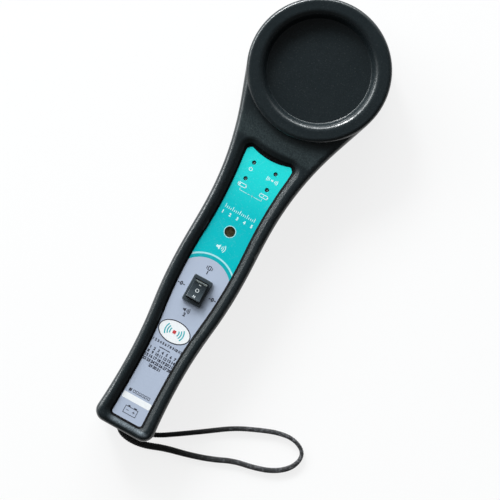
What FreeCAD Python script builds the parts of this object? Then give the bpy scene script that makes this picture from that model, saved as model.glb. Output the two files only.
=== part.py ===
import FreeCAD, Part
import math
import os
from FreeCAD import Vector

# Security metal detector wand, in millimetres. +Y runs from the strap end to the head, +Z out of the
# face, and the rear face lies on z = 0. The origin is midway along the case.

# Case seen from above: a round head, a neck that curves in to a waist, a belly, a grip and a square end
case_length = 356.0
head_radius = 53.5
waist_half = 26.85
belly_half = 27.6
grip_half = 21.9
end_flare_radius = 480.0
end_corner = 8.5

# Radius of the neck's hollow side, as a share of the radius that would run straight into the head
neck_share = 0.94

# Places along the handle, as shares of its length from the head's centre to the strap end
waist_share = 0.4116
sounder_share = 0.4476
belly_share = 0.5438
switch_share = 0.6109
grip_share = 0.8347

# Case seen from the side
parting_z = 15.0
crest_z = 28.7
ring_z = 33.0
wall = 2.4
rim_outer_fillet = 4.8
rim_slope_run = 5.0
rim_slope_foot = 0.6
rim_crest_fillet = 4.0
ring_fillet = 3.4
rear_fillet = 6.0
cavity_chamfer = 1.8
seam_chamfer = 0.35

# Lip at the parting line
tongue_height = 1.5
tongue_clearance = 0.15
lip_share = 0.5
bury_share = 0.25

# Round dishes in the two faces of the head
front_ring_width = 11.6
front_dish_depth = 8.0
front_dish_slope = 3.2
front_dish_lip = 5.0
front_dish_base = 0.8
rear_ring_width = 13.3
rear_dish_depth = 6.0
rear_dish_slope = 2.2
rear_dish_lip = 1.5

# Printed label and the recess that it lies in
label_floor_z = 25.5
label_thickness = 0.3
label_margin = 0.25
label_collar = 19.5
label_side_spare = 4.0
label_waist_shift = 2.0
label_neck_flare_radius = 322.0
label_end_flare_radius = 980.0
rim_waist_width = 10.85
rim_belly_width = 10.3
rim_grip_width = 10.2
rim_end_width = 9.0
label_top_corner = 3.7
label_end_corner = 2.2
label_floor_thickness = 2.2

# Indicator lights, two columns and two rows
light_x = 9.0
light_drop = 9.2
light_row_pitch = 13.2
light_hole_radius = 2.0
light_radius = 1.5
light_flange_radius = 1.9
light_flange_height = 1.0
light_height = 5.4

# Sounder under its round hole
sounder_hole_radius = 4.0
sounder_radius = 11.0
sounder_wall = 1.0
sounder_ledge = 1.6
sounder_height = 3.9
disc_radius = 9.8
disc_thickness = 0.3
disc_height = 2.2

# Rocker switch
bezel_length = 21.0
bezel_width = 15.0
bezel_height = 2.0
bezel_corner = 1.2
bezel_edge_round = 0.5
body_length = 18.8
body_width = 12.7
body_depth = 13.0
cutout_clearance = 0.15
window_length = 15.9
window_width = 11.4
switch_floor = 1.5
pivot_depth = 2.0
rocker_length = 14.2
rocker_width = 10.9
rocker_rise = 3.2
rocker_hollow = 1.5
rocker_skirt = 3.0
rocker_round = 0.35
trunnion_radius = 1.0
trunnion_clearance = 0.05
trunnion_reach = 0.4
plunger_radius = 0.9
plunger_gap = 0.05
plunger_grip = 1.5
spring_wall = 0.4
spring_gap = 0.1
spring_collar_gap = 1.2
blade_length = 13.4
blade_width = 4.0
blade_thickness = 0.6
blade_rise = 1.5
blade_clearance = 0.1
terminal_width = 4.8
terminal_thickness = 0.8
terminal_reach = 7.0
terminal_pitch = 6.6
terminal_pad = 0.25

# Circuit board hung under the face
board_half_width = 14.5
board_top_drop = 1.5
board_switch_gap = 5.8
board_thickness = 1.6
board_top_z = 19.3
board_corner = 2.0
board_post_radius = 3.0
board_post_x = 11.5
board_post_top_drop = 2.8
board_post_end_rise = 4.0
chip_length = 9.8
chip_width = 6.4
chip_height = 3.3
chip_rise = 11.0
capacitor_radius = 4.0
capacitor_length = 11.5
capacitor_x = -6.0
capacitor_rise = 14.0
trimmer_side = 7.0
trimmer_height = 5.0
trimmer_x = 7.0
trimmer_rise = 16.0
trimmer_slot = 0.8
trimmer_slot_depth = 0.6
trimmer_dial_radius = 2.4

# Search coil wound on a former in the ring of the head
former_clearance = 0.3
former_depth = 4.2
former_bottom_z = 8.0
former_top_drop = 6.0
former_flange = 6.5
former_web = 1.6
coil_rib_count = 12
coil_rib_thickness = 1.6

# Screws: self-tapping with pan heads
case_screw_radius = 1.5
case_screw_head_radius = 2.9
case_screw_head_height = 2.0
case_screw_seat_z = 5.0
case_screw_bite = 7.0
case_post_wall = 1.3
neck_screw_x = 24.0
neck_screw_drop = 9.0
waist_screw_inset = 7.85
waist_screw_drop = 15.0
grip_screw_inset = 6.0
grip_screw_rise = 11.5
head_screw_share = 0.68
head_screw_sink = 2.6
board_screw_radius = 1.1
board_screw_head_radius = 2.2
board_screw_head_height = 1.5
board_screw_length = 5.0
screw_clearance = 0.25
pilot_clearance = 0.04
driver_slot = 0.7
driver_slot_depth = 0.9

# Battery, its compartment and its door in the rear face
battery_length = 48.5
battery_width = 26.5
battery_thickness = 17.5
battery_round = 2.0
battery_end_gap = 18.2
battery_clearance = 0.25
bay_side_clearance = 0.75
bay_end_gap = 14.6
bay_snap_room = 13.4
bay_wall = 1.5
bay_roof_gap = 0.3
stud_pitch = 12.9
stud_height = 2.6
small_stud_radius = 2.7
large_stud_radius = 3.8
snap_width = 25.0
snap_thickness = 12.5
snap_height = 3.2
snap_round = 1.2
foam_length = 36.0
foam_width = 20.0
door_end_gap = 15.1
door_snap_room = 10.4
door_width = 26.4
door_thickness = 2.4
door_inset = 0.3
door_gap = 0.3
door_corner = 1.5
hook_width = 5.0
hook_spacing = 15.0
hook_reach = 2.2
hook_thickness = 1.2
hook_root = 1.7
latch_width = 9.0
latch_height = 7.0
latch_thickness = 1.3
latch_barb = 0.9
latch_clearance = 0.15
latch_barb_height = 1.6
finger_notch_radius = 7.0
finger_notch_depth = 1.3
finger_notch_reach = 4.0
door_rib_count = 6
door_rib_pitch = 2.6
door_rib_depth = 0.5
door_rib_width = 1.0
door_rib_length = 14.0

# Charging socket in the strap end
socket_x = -11.6
socket_bore_radius = 1.8
socket_bore_length = 11.0
socket_barrel_radius = 3.0
socket_barrel_length = 3.2
socket_body_width = 7.0
socket_body_height = 6.4
socket_body_length = 9.0
socket_hole_clearance = 0.15

# Strap end: an undercut that lets the strap pass under the case, and two holes up into it. Places of
# the holes and of the strap's route are measured along +Y from the end of the case.
heel_length = 11.5
heel_height = 7.0
heel_round = 4.5
strap_radius = 1.8
strap_hole_radius = 2.3
knot_radius = 2.8
knot_clearance = 0.1
strap_holes = ((8.0, 7.0), (-4.5, 5.4))
strap_route = (
    (15.6, 4.4),
    (25.0, 6.6),
    (40.5, 16.8),
    (57.0, 28.2),
    (73.5, 40.0),
    (90.0, 47.6),
    (104.5, 53.2),
    (118.0, 54.6),
    (129.0, 48.4),
    (127.0, 36.0),
    (116.4, 26.6),
    (102.0, 21.4),
    (85.5, 18.4),
    (70.5, 11.4),
    (53.0, 5.8),
    (35.5, 1.8),
    (21.0, -3.8),
    (9.0, -5.4),
    (-1.0, -2.8),
)
strap_bend_share = 0.45

# Leads inside
lead_radius = 0.8
coil_lead_x = 4.0
coil_lead_run = 7.3
battery_lead_x = 9.0
battery_lead_sink = 1.1

HALF = 0.5
FULL_TURN = 360.0
UP = Vector(0, 0, 1)


# Worked out from the sizes above

head_end_y = case_length * HALF
end_y = -case_length * HALF
head_y = head_end_y - head_radius
handle_length = head_y - end_y
waist_y = head_y - handle_length * waist_share
sounder_y = head_y - handle_length * sounder_share
belly_y = head_y - handle_length * belly_share
switch_y = head_y - handle_length * switch_share
grip_y = head_y - handle_length * grip_share
front_dish_top_radius = head_radius - front_ring_width
front_dish_floor_radius = front_dish_top_radius - front_dish_slope
rear_dish_top_radius = head_radius - rear_ring_width
rear_dish_floor_radius = rear_dish_top_radius - rear_dish_slope
dish_floor_z = ring_z - front_dish_depth
label_top_radius = head_radius + label_collar
label_top_y = head_y - label_top_radius
label_side_top_y = head_y - head_radius - label_side_spare
label_waist_y = waist_y + label_waist_shift
label_waist_half = waist_half - rim_waist_width
label_belly_half = belly_half - rim_belly_width
label_grip_half = grip_half - rim_grip_width
label_end_y = end_y + rim_end_width
light_rows_y = (label_top_y - light_drop, label_top_y - light_drop - light_row_pitch)
former_outer_radius = head_radius - wall - former_clearance
former_inner_radius = former_outer_radius - former_depth
former_height = ring_z - former_top_drop - former_bottom_z
skin_z = label_floor_z - label_floor_thickness
label_top_z = label_floor_z + label_thickness
bezel_z = label_top_z + bezel_height
pivot_z = bezel_z - pivot_depth
switch_bottom_z = label_top_z - body_depth
switch_floor_z = switch_bottom_z + switch_floor
rocker_bottom_z = pivot_z - rocker_skirt
blade_top_z = switch_floor_z + blade_rise + blade_clearance + blade_thickness
board_rest_z = board_top_z - board_thickness
board_top_y = label_top_y - board_top_drop
board_end_y = switch_y + bezel_length * HALF + board_switch_gap
board_post_rows_y = (board_top_y - board_post_top_drop, board_end_y + board_post_end_rise)
board_posts = [(side * board_post_x, y) for y in board_post_rows_y for side in (-1, 1)]
chip_y = waist_y + chip_rise
capacitor_y = waist_y + capacitor_rise
trimmer_y = board_end_y + trimmer_rise
heel_floor_z = heel_height + wall
heel_y = end_y + heel_length
inner_end_y = end_y + wall
bay_half_width = battery_width * HALF + bay_side_clearance
bay_end_y = end_y + bay_end_gap
bay_top_y = bay_end_y + battery_length + bay_snap_room
bay_ceiling_z = skin_z - bay_roof_gap - bay_wall
battery_end_y = end_y + battery_end_gap
battery_rest_z = door_inset + door_thickness + battery_clearance
door_end_y = end_y + door_end_gap
door_top_y = door_end_y + battery_length + door_snap_room
door_half_width = door_width * HALF
battery_lead_z = board_top_z - battery_lead_sink
case_post_radius = case_screw_head_radius + case_post_wall
knot_z = heel_floor_z + knot_radius + knot_clearance
bury = wall * bury_share
over = ring_z
case_screw_places = (
    (neck_screw_x, head_y - head_radius - neck_screw_drop),
    (waist_half - waist_screw_inset, waist_y - waist_screw_drop),
    (grip_half - grip_screw_inset, bay_top_y + grip_screw_rise),
)
head_screw_place = (front_dish_floor_radius * head_screw_share, head_y)


def box(x_low, x_high, y_low, y_high, z_low, z_high):
    return Part.makeBox(x_high - x_low, y_high - y_low, z_high - z_low, Vector(x_low, y_low, z_low))


def rod(radius, height, x, y, z, axis=UP):
    return Part.makeCylinder(radius, height, Vector(x, y, z), axis)


def upright_edges(solid, low_y, high_y):
    """Straight vertical edges whose place lies between two values of y."""
    found = []
    for edge in solid.Edges:
        ends = [vertex.Point for vertex in edge.Vertexes]
        if len(ends) == 2 and math.hypot(ends[0].x - ends[1].x, ends[0].y - ends[1].y) < edge.Length * 1e-3:
            if low_y <= ends[0].y <= high_y:
                found.append(edge)
    return found


def level_edges(solid, z):
    """Edges that lie flat at one height."""
    slack = wall * 1e-4
    found = []
    for edge in solid.Edges:
        bounds = edge.BoundBox
        if abs(bounds.ZMin - z) < slack and abs(bounds.ZMax - z) < slack:
            found.append(edge)
    return found


def arc(centre, radius, start, end):
    """Arc of under half a turn about a centre, from start to end."""
    middle = centre + ((start + end) * HALF - centre).normalize() * radius
    return Part.Arc(start, middle, end).toShape()


def s_bend(upper_half, upper_y, lower_half, lower_y):
    """Two equal arcs that lead a side down from one half width to another: centre, radius, bulge."""
    shift = lower_half - upper_half
    drop = upper_y - lower_y
    radius = (drop ** 2 + shift ** 2) / (4 * abs(shift))
    outward = math.copysign(1, shift)
    first = (Vector(upper_half + outward * radius, upper_y, 0), radius, -outward)
    second = (Vector(lower_half - outward * radius, lower_y, 0), radius, outward)
    return [first, second]


def tangent_direction(centre, next_centre, reaches, bulge):
    """Direction from an arc's centre to where the side leaves it for an arc that bulges the other way."""
    between = next_centre - centre
    lean = bulge * math.acos(min(1, reaches / between.Length))
    away = Vector(between.x * math.cos(lean) - between.y * math.sin(lean),
                  between.x * math.sin(lean) + between.y * math.cos(lean), 0)
    return away.normalize()


def side_edges(bends, inset, start, end):
    """Arcs down the right side, joined by straight runs where they don't touch, and moved inwards by inset.

    A bulge of 1 is convex, -1 hollow.
    """
    edges = []
    here = start
    for index, (centre, radius, bulge) in enumerate(bends):
        reach = radius - bulge * inset
        if index == len(bends) - 1:
            edges.append(arc(centre, reach, here, end))
        elif bends[index + 1][2] == bulge:
            there = centre + Vector(bulge, 0, 0) * reach
            edges.append(arc(centre, reach, here, there))
            here = there
        else:
            next_centre, next_radius, next_bulge = bends[index + 1]
            next_reach = next_radius - next_bulge * inset
            away = tangent_direction(centre, next_centre, reach + next_reach, bulge)
            there = centre + away * reach
            edges.append(arc(centre, reach, here, there))
            here = next_centre - away * next_reach
            if here.distanceToPoint(there) > wall * 1e-3:
                edges.append(Part.LineSegment(there, here).toShape())
            else:
                here = there
    return edges


def mirrored_face(right_edges):
    """Face between the right side's edges and their mirror image, closed across the ends."""
    right = Part.Wire(right_edges)
    left = right.mirror(Vector(0, 0, 0), Vector(1, 0, 0))
    edges = right.Edges + left.Edges
    for place in (right_edges[0].Vertexes[0].Point, right_edges[-1].Vertexes[-1].Point):
        if place.x > wall:
            edges.append(Part.LineSegment(place, Vector(-place.x, place.y, place.z)).toShape())
    return Part.Face(Part.Wire(Part.sortEdges(edges)[0]))


def case_prism(inset, z_low, z_high):
    """Upright block on the case's outline."""
    rise = head_y - waist_y
    touching_radius = (rise ** 2 + waist_half ** 2 - head_radius ** 2) / (2 * (head_radius - waist_half))
    neck_radius = touching_radius * neck_share
    flare_centre = Vector(grip_half + end_flare_radius, grip_y, 0)
    corner_y = end_y + end_corner
    corner_reach = math.sqrt((end_flare_radius + end_corner) ** 2 - (grip_y - corner_y) ** 2)
    corner_centre = Vector(flare_centre.x - corner_reach, corner_y, 0)
    bends = [(Vector(0, head_y, 0), head_radius, 1)]
    bends.append((Vector(waist_half + neck_radius, waist_y, 0), neck_radius, -1))
    bends += s_bend(waist_half, waist_y, belly_half, belly_y)
    bends += s_bend(belly_half, belly_y, grip_half, grip_y)
    bends.append((flare_centre, end_flare_radius, -1))
    bends.append((corner_centre, end_corner, 1))
    crown = Vector(0, head_end_y - inset, 0)
    foot = Vector(corner_centre.x, end_y + inset, 0)
    face = mirrored_face(side_edges(bends, inset, crown, foot))
    face.translate(Vector(0, 0, z_low))
    return face.extrude(Vector(0, 0, z_high - z_low))


def label_prism(grow, z_low, z_high):
    """Upright block on the label's outline, grown sideways, with rounded corners."""
    waist = Vector(label_waist_half + label_neck_flare_radius, label_waist_y, 0)
    flare = Vector(label_grip_half + label_end_flare_radius, grip_y, 0)
    bends = [(waist, label_neck_flare_radius, -1)]
    bends += s_bend(label_waist_half, label_waist_y, label_belly_half, belly_y)
    bends += s_bend(label_belly_half, belly_y, label_grip_half, grip_y)
    bends.append((flare, label_end_flare_radius, -1))
    foot_y = label_end_y - grow
    top_reach = math.sqrt((label_neck_flare_radius - grow) ** 2 - (label_side_top_y - label_waist_y) ** 2)
    foot_reach = math.sqrt((label_end_flare_radius - grow) ** 2 - (grip_y - foot_y) ** 2)
    top = Vector(waist.x - top_reach, label_side_top_y, 0)
    foot = Vector(flare.x - foot_reach, foot_y, 0)
    face = mirrored_face(side_edges(bends, -grow, top, foot))
    face.translate(Vector(0, 0, z_low))
    block = face.extrude(Vector(0, 0, z_high - z_low))
    block = block.cut(rod(label_top_radius - grow, z_high - z_low, 0, head_y, z_low))
    block = block.makeFillet(label_top_corner + grow, upright_edges(block, label_waist_y + wall, head_y))
    foot_edges = upright_edges(block, foot_y - wall, label_end_y + wall)
    return block.makeFillet(label_end_corner + grow, foot_edges)


def label_recess():
    """Recess for the label: a low upright wall, then a slope up to the crest of the rim."""
    foot_z = label_floor_z + rim_slope_foot
    low = label_prism(label_margin, label_floor_z, foot_z)
    high = label_prism(label_margin + rim_slope_run, crest_z, ring_z)
    slope = Part.makeLoft([level_outline(low, foot_z), level_outline(high, crest_z)], True, True)
    return low.fuse([slope, high])


def level_outline(block, z):
    """Outline of a block's level face at one height."""
    slack = wall * 1e-3
    faces = [face for face in block.Faces if abs(face.BoundBox.ZMin - z) + abs(face.BoundBox.ZMax - z) < slack]
    return faces[0].OuterWire


def dish(floor_radius, top_radius, floor_z, mouth_z, base_round, grow):
    """Solid that fills a round dish with sloping sides, up past its mouth, and grown by a wall."""
    outward = math.copysign(1, mouth_z - floor_z)
    low = floor_z - outward * grow
    slope = (top_radius - floor_radius) / abs(mouth_z - floor_z)
    high = mouth_z + outward * over
    points = [Vector(0, head_y, low), Vector(floor_radius + grow, head_y, low)]
    points.append(Vector(floor_radius + grow + slope * abs(mouth_z - low), head_y, mouth_z))
    points.append(Vector(points[-1].x, head_y, high))
    points.append(Vector(0, head_y, high))
    profile = Part.Face(Part.makePolygon(points + points[:1]))
    solid = profile.revolve(Vector(0, head_y, 0), UP, FULL_TURN)
    if base_round > 0:
        solid = solid.makeFillet(base_round, level_edges(solid, low))
    return solid


def front_dish(base_round, grow):
    return dish(front_dish_floor_radius, front_dish_top_radius, dish_floor_z, ring_z, base_round, grow)


def rear_dish(grow):
    return dish(rear_dish_floor_radius, rear_dish_top_radius, rear_dish_depth, 0, 0, grow)


def round_lip(shell, z, radius, lip):
    """Rounds the circular edge of one radius at one height of the head."""
    slack = wall * 1e-3
    chosen = [edge for edge in level_edges(shell, z) if abs(edge.BoundBox.XMax - radius) < slack]
    return shell.makeFillet(lip, chosen)


def light_places():
    return [(x, y) for y in light_rows_y for x in (-light_x, light_x)]


def all_screw_places():
    """Both screws of each pair, with the height of the seat and the length."""
    places = []
    for x, y in case_screw_places + (head_screw_place,):
        seat_z = rear_dish_depth + head_screw_sink if y == head_y else case_screw_seat_z
        length = parting_z + case_screw_bite - seat_z
        places += [(side * x, y, seat_z, length) for side in (-1, 1)]
    return places


def switch_block(length, width, z_low, z_high):
    """Block centred on the switch."""
    half_length = length * HALF
    half_width = width * HALF
    return box(-half_width, half_width, switch_y - half_length, switch_y + half_length, z_low, z_high)


def coil_ribs(z_low, z_high):
    """Radial ribs that the coil former seats on."""
    ribs = []
    for number in range(coil_rib_count):
        rib = box(-coil_rib_thickness * HALF, coil_rib_thickness * HALF,
                  former_inner_radius, head_radius - wall + bury, z_low, z_high)
        rib.rotate(Vector(0, 0, 0), UP, FULL_TURN * (number + HALF) / coil_rib_count)
        rib.translate(Vector(0, head_y, 0))
        ribs.append(rib)
    return ribs


def front_cover():
    """Face half of the case: ring and dish, rim round the label recess, bosses and cut-outs."""
    shell = case_prism(0, parting_z, crest_z)
    shell = shell.makeFillet(rim_outer_fillet, level_edges(shell, crest_z))
    ring = rod(head_radius, ring_z - parting_z, 0, head_y, parting_z)
    ring = ring.makeFillet(ring_fillet, level_edges(ring, ring_z))
    shell = shell.fuse(ring).removeSplitter()
    shell = shell.cut(front_dish(front_dish_base, 0))
    shell = round_lip(shell, ring_z, front_dish_top_radius, front_dish_lip)
    shell = shell.cut(label_recess())
    guard = label_prism(label_margin + rim_slope_run + wall * HALF, label_floor_z, ring_z)
    rim_edges = [edge for edge in level_edges(shell, crest_z)
                 if guard.isInside(edge.Vertexes[0].Point, wall * 1e-3, True)]
    shell = shell.makeFillet(rim_crest_fillet, rim_edges)
    shell = shell.makeChamfer(seam_chamfer, level_edges(shell, parting_z))
    return front_inside(shell)


def front_inside(shell):
    """Hollows the face half and adds what is moulded inside it."""
    hollow = case_prism(wall, parting_z, crest_z - wall)
    hollow = hollow.makeChamfer(cavity_chamfer, level_edges(hollow, crest_z - wall))
    hollow = hollow.cut(label_prism(label_floor_thickness, skin_z, ring_z))
    hollow = hollow.cut(front_dish(0, wall))
    channel = rod(head_radius - wall, ring_z - wall - parting_z, 0, head_y, parting_z)
    channel = channel.cut(rod(former_inner_radius - former_clearance, over, 0, head_y, parting_z))
    channel = channel.cut(front_dish(0, wall))
    lip_depth = tongue_height + tongue_clearance
    rebate = case_prism(wall * lip_share - tongue_clearance, parting_z, parting_z + lip_depth)
    inner = hollow.fuse([channel, rebate])
    shell = shell.cut(inner)
    ribs = coil_ribs(former_bottom_z + former_height, ring_z - wall + bury)
    shell = shell.fuse(front_bosses() + ribs)
    return shell.cut(front_holes())


def front_bosses():
    """Bosses for the case screws and posts for the board."""
    bosses = []
    recess = label_prism(label_floor_thickness * HALF, skin_z + bury, ring_z)
    for x, y, seat_z, length in all_screw_places():
        ceiling = dish_floor_z if abs(y - head_y) < head_radius - wall else crest_z
        boss = rod(case_post_radius, ceiling - wall + bury - parting_z, x, y, parting_z)
        bosses.append(boss.common(case_prism(wall * HALF, parting_z, crest_z)).cut(recess))
    for x, y in board_posts:
        bosses.append(rod(board_post_radius, skin_z + bury - board_top_z, x, y, board_top_z))
    return bosses


def front_holes():
    """Openings in the face, pilot holes and the front half of the socket hole."""
    holes = [rod(light_hole_radius, over, x, y, skin_z - wall) for x, y in light_places()]
    holes.append(rod(sounder_hole_radius, over, 0, sounder_y, skin_z - wall))
    spare = cutout_clearance * 2
    holes.append(switch_block(body_length + spare, body_width + spare, skin_z - wall, ring_z))
    for x, y, seat_z, length in all_screw_places():
        depth = seat_z + length - parting_z + screw_clearance
        holes.append(rod(case_screw_radius + pilot_clearance, depth, x, y, parting_z))
    for x, y in board_posts:
        depth = board_rest_z + board_screw_length - board_top_z + screw_clearance
        holes.append(rod(board_screw_radius + pilot_clearance, depth, x, y, board_top_z))
    holes.append(socket_hole())
    return holes


def socket_hole():
    """Round hole in the end wall, half of it in each cover."""
    radius = socket_barrel_radius + socket_hole_clearance
    return rod(radius, wall * 2, socket_x, end_y - wall * HALF, parting_z, Vector(0, 1, 0))


def heel_cut():
    """Space under the strap end, with a rounded inner corner."""
    cut = box(-head_radius, head_radius, end_y - wall, heel_y, -wall, heel_height)
    corner = [edge for edge in level_edges(cut, heel_height) if edge.BoundBox.YMin > heel_y - wall]
    return cut.makeFillet(heel_round, corner)


def rear_cover():
    """Back half of the case: shallow dish, screw posts, battery compartment and strap end."""
    shell = case_prism(0, 0, parting_z)
    shell = shell.makeFillet(rear_fillet, level_edges(shell, 0))
    shell = shell.cut(rear_dish(0))
    shell = round_lip(shell, 0, rear_dish_top_radius, rear_dish_lip)
    shell = shell.cut(heel_cut())
    shell = shell.makeChamfer(seam_chamfer, level_edges(shell, parting_z))
    hollow = case_prism(wall, wall, parting_z + wall)
    hollow = hollow.makeChamfer(cavity_chamfer, level_edges(hollow, wall))
    hollow = hollow.cut(rear_dish(wall))
    heel_skin = box(-head_radius, head_radius, end_y, heel_y + wall, 0, heel_floor_z)
    heel_corner = [edge for edge in level_edges(heel_skin, heel_floor_z) if edge.BoundBox.YMin > heel_y]
    hollow = hollow.cut(heel_skin.makeFillet(heel_round + wall, heel_corner))
    shell = shell.cut(hollow)
    tongue = case_prism(wall * lip_share, parting_z - wall, parting_z + tongue_height)
    tongue = tongue.cut(case_prism(wall, parting_z - wall, parting_z + tongue_height))
    ribs = coil_ribs(wall - bury * HALF, former_bottom_z)
    shell = shell.fuse([tongue, battery_bay()] + rear_posts() + ribs)
    return shell.cut(rear_holes())


def rear_posts():
    """Counterbored posts that the case screws clamp against the bosses of the face half."""
    posts = []
    for x, y, seat_z, length in all_screw_places():
        foot = rear_dish_depth + wall * HALF if y > head_y - wall else wall * HALF
        post = rod(case_post_radius, parting_z - foot, x, y, foot)
        posts.append(post.common(case_prism(wall * HALF, 0, parting_z)))
    return posts


def battery_bay():
    """Walls and roof round the battery, open below and towards its snap."""
    side = bay_half_width + bay_wall
    outer = box(-side, side, bay_end_y - bay_wall, bay_top_y, wall * HALF, bay_ceiling_z + bay_wall)
    inner = box(-bay_half_width, bay_half_width, bay_end_y, bay_top_y + wall, 0, bay_ceiling_z)
    return outer.cut(inner)


def rear_holes():
    """Screw holes, door opening with its hook slots, strap holes and half of the socket hole."""
    holes = []
    for x, y, seat_z, length in all_screw_places():
        holes.append(rod(case_screw_head_radius + screw_clearance, seat_z + over, x, y, -over))
        holes.append(rod(case_screw_radius + screw_clearance, parting_z + over, x, y, 0))
    side = door_half_width + door_gap
    opening = box(-side, side, door_end_y - door_gap, door_top_y + door_gap, -wall, wall * 2)
    holes.append(opening.makeFillet(door_corner + door_gap, upright_edges(opening, end_y, head_y)))
    notch = rod(finger_notch_radius, finger_notch_depth * 2, 0,
                door_top_y + finger_notch_reach - finger_notch_radius + door_gap, -finger_notch_depth)
    holes.append(notch)
    for x in (-hook_spacing * HALF, hook_spacing * HALF):
        reach = hook_width * HALF + door_gap
        holes.append(box(x - reach, x + reach, door_end_y - hook_reach - door_gap * 2, door_end_y,
                         wall, door_inset + door_thickness + hook_thickness + hook_reach))
    for x, y in strap_holes:
        holes.append(rod(strap_hole_radius, over, x, end_y + y, 0))
    holes.append(socket_hole())
    return holes


def battery_door():
    """Door in the rear face: two hooks at one end, a spring latch and finger grooves at the other."""
    low = door_inset
    high = door_inset + door_thickness
    plate = box(-door_half_width, door_half_width, door_end_y, door_top_y, low, high)
    plate = plate.makeFillet(door_corner, upright_edges(plate, end_y, head_y))
    door_parts = []
    for x in (-hook_spacing * HALF, hook_spacing * HALF):
        door_parts.append(box(x - hook_width * HALF, x + hook_width * HALF,
                              door_end_y - hook_reach, door_end_y + hook_root,
                              wall + door_gap, wall + door_gap + hook_thickness))
    latch_y = door_top_y - latch_barb
    latch_side = latch_width * HALF
    arm = box(-latch_side, latch_side, latch_y - latch_thickness, latch_y, low, high + latch_height)
    barb_z = wall + door_gap
    points = [Vector(0, latch_y, barb_z), Vector(0, door_top_y + door_gap - latch_clearance, barb_z),
              Vector(0, latch_y, barb_z + latch_barb_height)]
    barb = Part.Face(Part.makePolygon(points + points[:1])).extrude(Vector(latch_width, 0, 0))
    barb.translate(Vector(-latch_side, 0, 0))
    door = plate.fuse(door_parts + [arm, barb]).removeSplitter()
    for number in range(door_rib_count):
        groove_y = door_top_y - finger_notch_radius - number * door_rib_pitch
        door = door.cut(box(-door_rib_length * HALF, door_rib_length * HALF,
                            groove_y - door_rib_width, groove_y, low - wall, low + door_rib_depth))
    return door


def label_overlay():
    """Thin printed label with its windows."""
    label = label_prism(0, label_floor_z, label_top_z)
    holes = [rod(light_hole_radius, over, x, y, skin_z) for x, y in light_places()]
    holes.append(rod(sounder_hole_radius, over, 0, sounder_y, skin_z))
    spare = cutout_clearance * 2
    holes.append(switch_block(body_length + spare, body_width + spare, skin_z, ring_z))
    return label.cut(holes)


def light(x, y):
    """Indicator light: flange, barrel and dome."""
    barrel_height = light_height - light_radius
    lamp = rod(light_flange_radius, light_flange_height, x, y, board_top_z)
    lamp = lamp.fuse(rod(light_radius, barrel_height, x, y, board_top_z))
    dome = Part.makeSphere(light_radius, Vector(x, y, board_top_z + barrel_height), UP, 0, 90)
    return lamp.fuse(dome).removeSplitter()


def sounder_case():
    """Cup that holds the sounder's disc on a ledge."""
    cup = rod(sounder_radius, sounder_height, 0, sounder_y, board_top_z)
    cup = cup.cut(rod(sounder_radius - sounder_wall, over, 0, sounder_y, board_top_z + disc_height))
    hollow_radius = sounder_radius - sounder_wall - sounder_ledge
    return cup.cut(rod(hollow_radius, over, 0, sounder_y, board_top_z + sounder_wall))


def switch_housing():
    """Switch body with bezel, window, trunnion bearings and slots for the terminals."""
    bezel = switch_block(bezel_length, bezel_width, label_top_z, bezel_z)
    bezel = bezel.makeFillet(bezel_corner, upright_edges(bezel, end_y, head_y))
    bezel = bezel.makeFillet(bezel_edge_round, level_edges(bezel, bezel_z))
    housing = bezel.fuse(switch_block(body_length, body_width, switch_bottom_z, label_top_z))
    housing = housing.cut(switch_block(window_length, window_width, switch_floor_z, ring_z))
    bearing = rod(trunnion_radius + trunnion_clearance, body_width, -body_width * HALF, switch_y, pivot_z,
                  Vector(1, 0, 0))
    inside = (window_width * HALF + trunnion_reach + trunnion_clearance) * 2
    bearing = bearing.common(switch_block(body_length, inside, switch_bottom_z, bezel_z))
    housing = housing.cut(bearing)
    for number in range(3):
        housing = housing.cut(terminal_block(number, switch_floor_z))
    return housing.removeSplitter()


def terminal_block(number, top_z):
    """Flat blade of one terminal, from under the switch up to a height."""
    y = switch_y + (number - 1) * terminal_pitch
    side = terminal_width * HALF
    thick = terminal_thickness * HALF
    return box(-side, side, y - thick, y + thick, switch_bottom_z - terminal_reach, top_z)


def switch_terminal(number):
    """Terminals at both ends carry pads. The middle one stands up as the blade's fulcrum."""
    if number == 1:
        return terminal_block(number, switch_floor_z + blade_rise)
    y = switch_y + (number - 1) * terminal_pitch
    pad = box(-terminal_width * HALF, terminal_width * HALF, y - terminal_thickness, y + terminal_thickness,
              switch_floor_z, switch_floor_z + terminal_pad)
    return terminal_block(number, switch_floor_z).fuse(pad).removeSplitter()


def contact_blade():
    """Blade that rocks on the middle terminal."""
    return switch_block(blade_length, blade_width, blade_top_z - blade_thickness, blade_top_z)


def switch_rocker():
    """Rocker with a hollowed top, skirt and trunnions."""
    top = bezel_z + rocker_rise
    bottom = rocker_bottom_z
    reach = rocker_length * HALF
    sides = [Vector(0, side * reach, z) for side, z in ((-1, bottom), (-1, top), (1, top), (1, bottom))]
    edges = [Part.LineSegment(sides[0], sides[1]).toShape(), Part.LineSegment(sides[2], sides[3]).toShape(),
             Part.LineSegment(sides[3], sides[0]).toShape()]
    edges.append(Part.Arc(sides[1], Vector(0, 0, top - rocker_hollow), sides[2]).toShape())
    profile = Part.Face(Part.Wire(Part.sortEdges(edges)[0]))
    rocker = profile.extrude(Vector(rocker_width, 0, 0))
    rocker.translate(Vector(-rocker_width * HALF, switch_y, 0))
    high_edges = [edge for edge in rocker.Edges if edge.BoundBox.ZMin > bezel_z]
    rocker = rocker.makeFillet(rocker_round, high_edges)
    trunnion = rod(trunnion_radius, window_width + trunnion_reach * 2,
                   -window_width * HALF - trunnion_reach, switch_y, pivot_z, Vector(1, 0, 0))
    socket = rod(plunger_radius, plunger_grip, 0, switch_y, bottom)
    return rocker.fuse(trunnion).cut(socket).removeSplitter()


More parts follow.
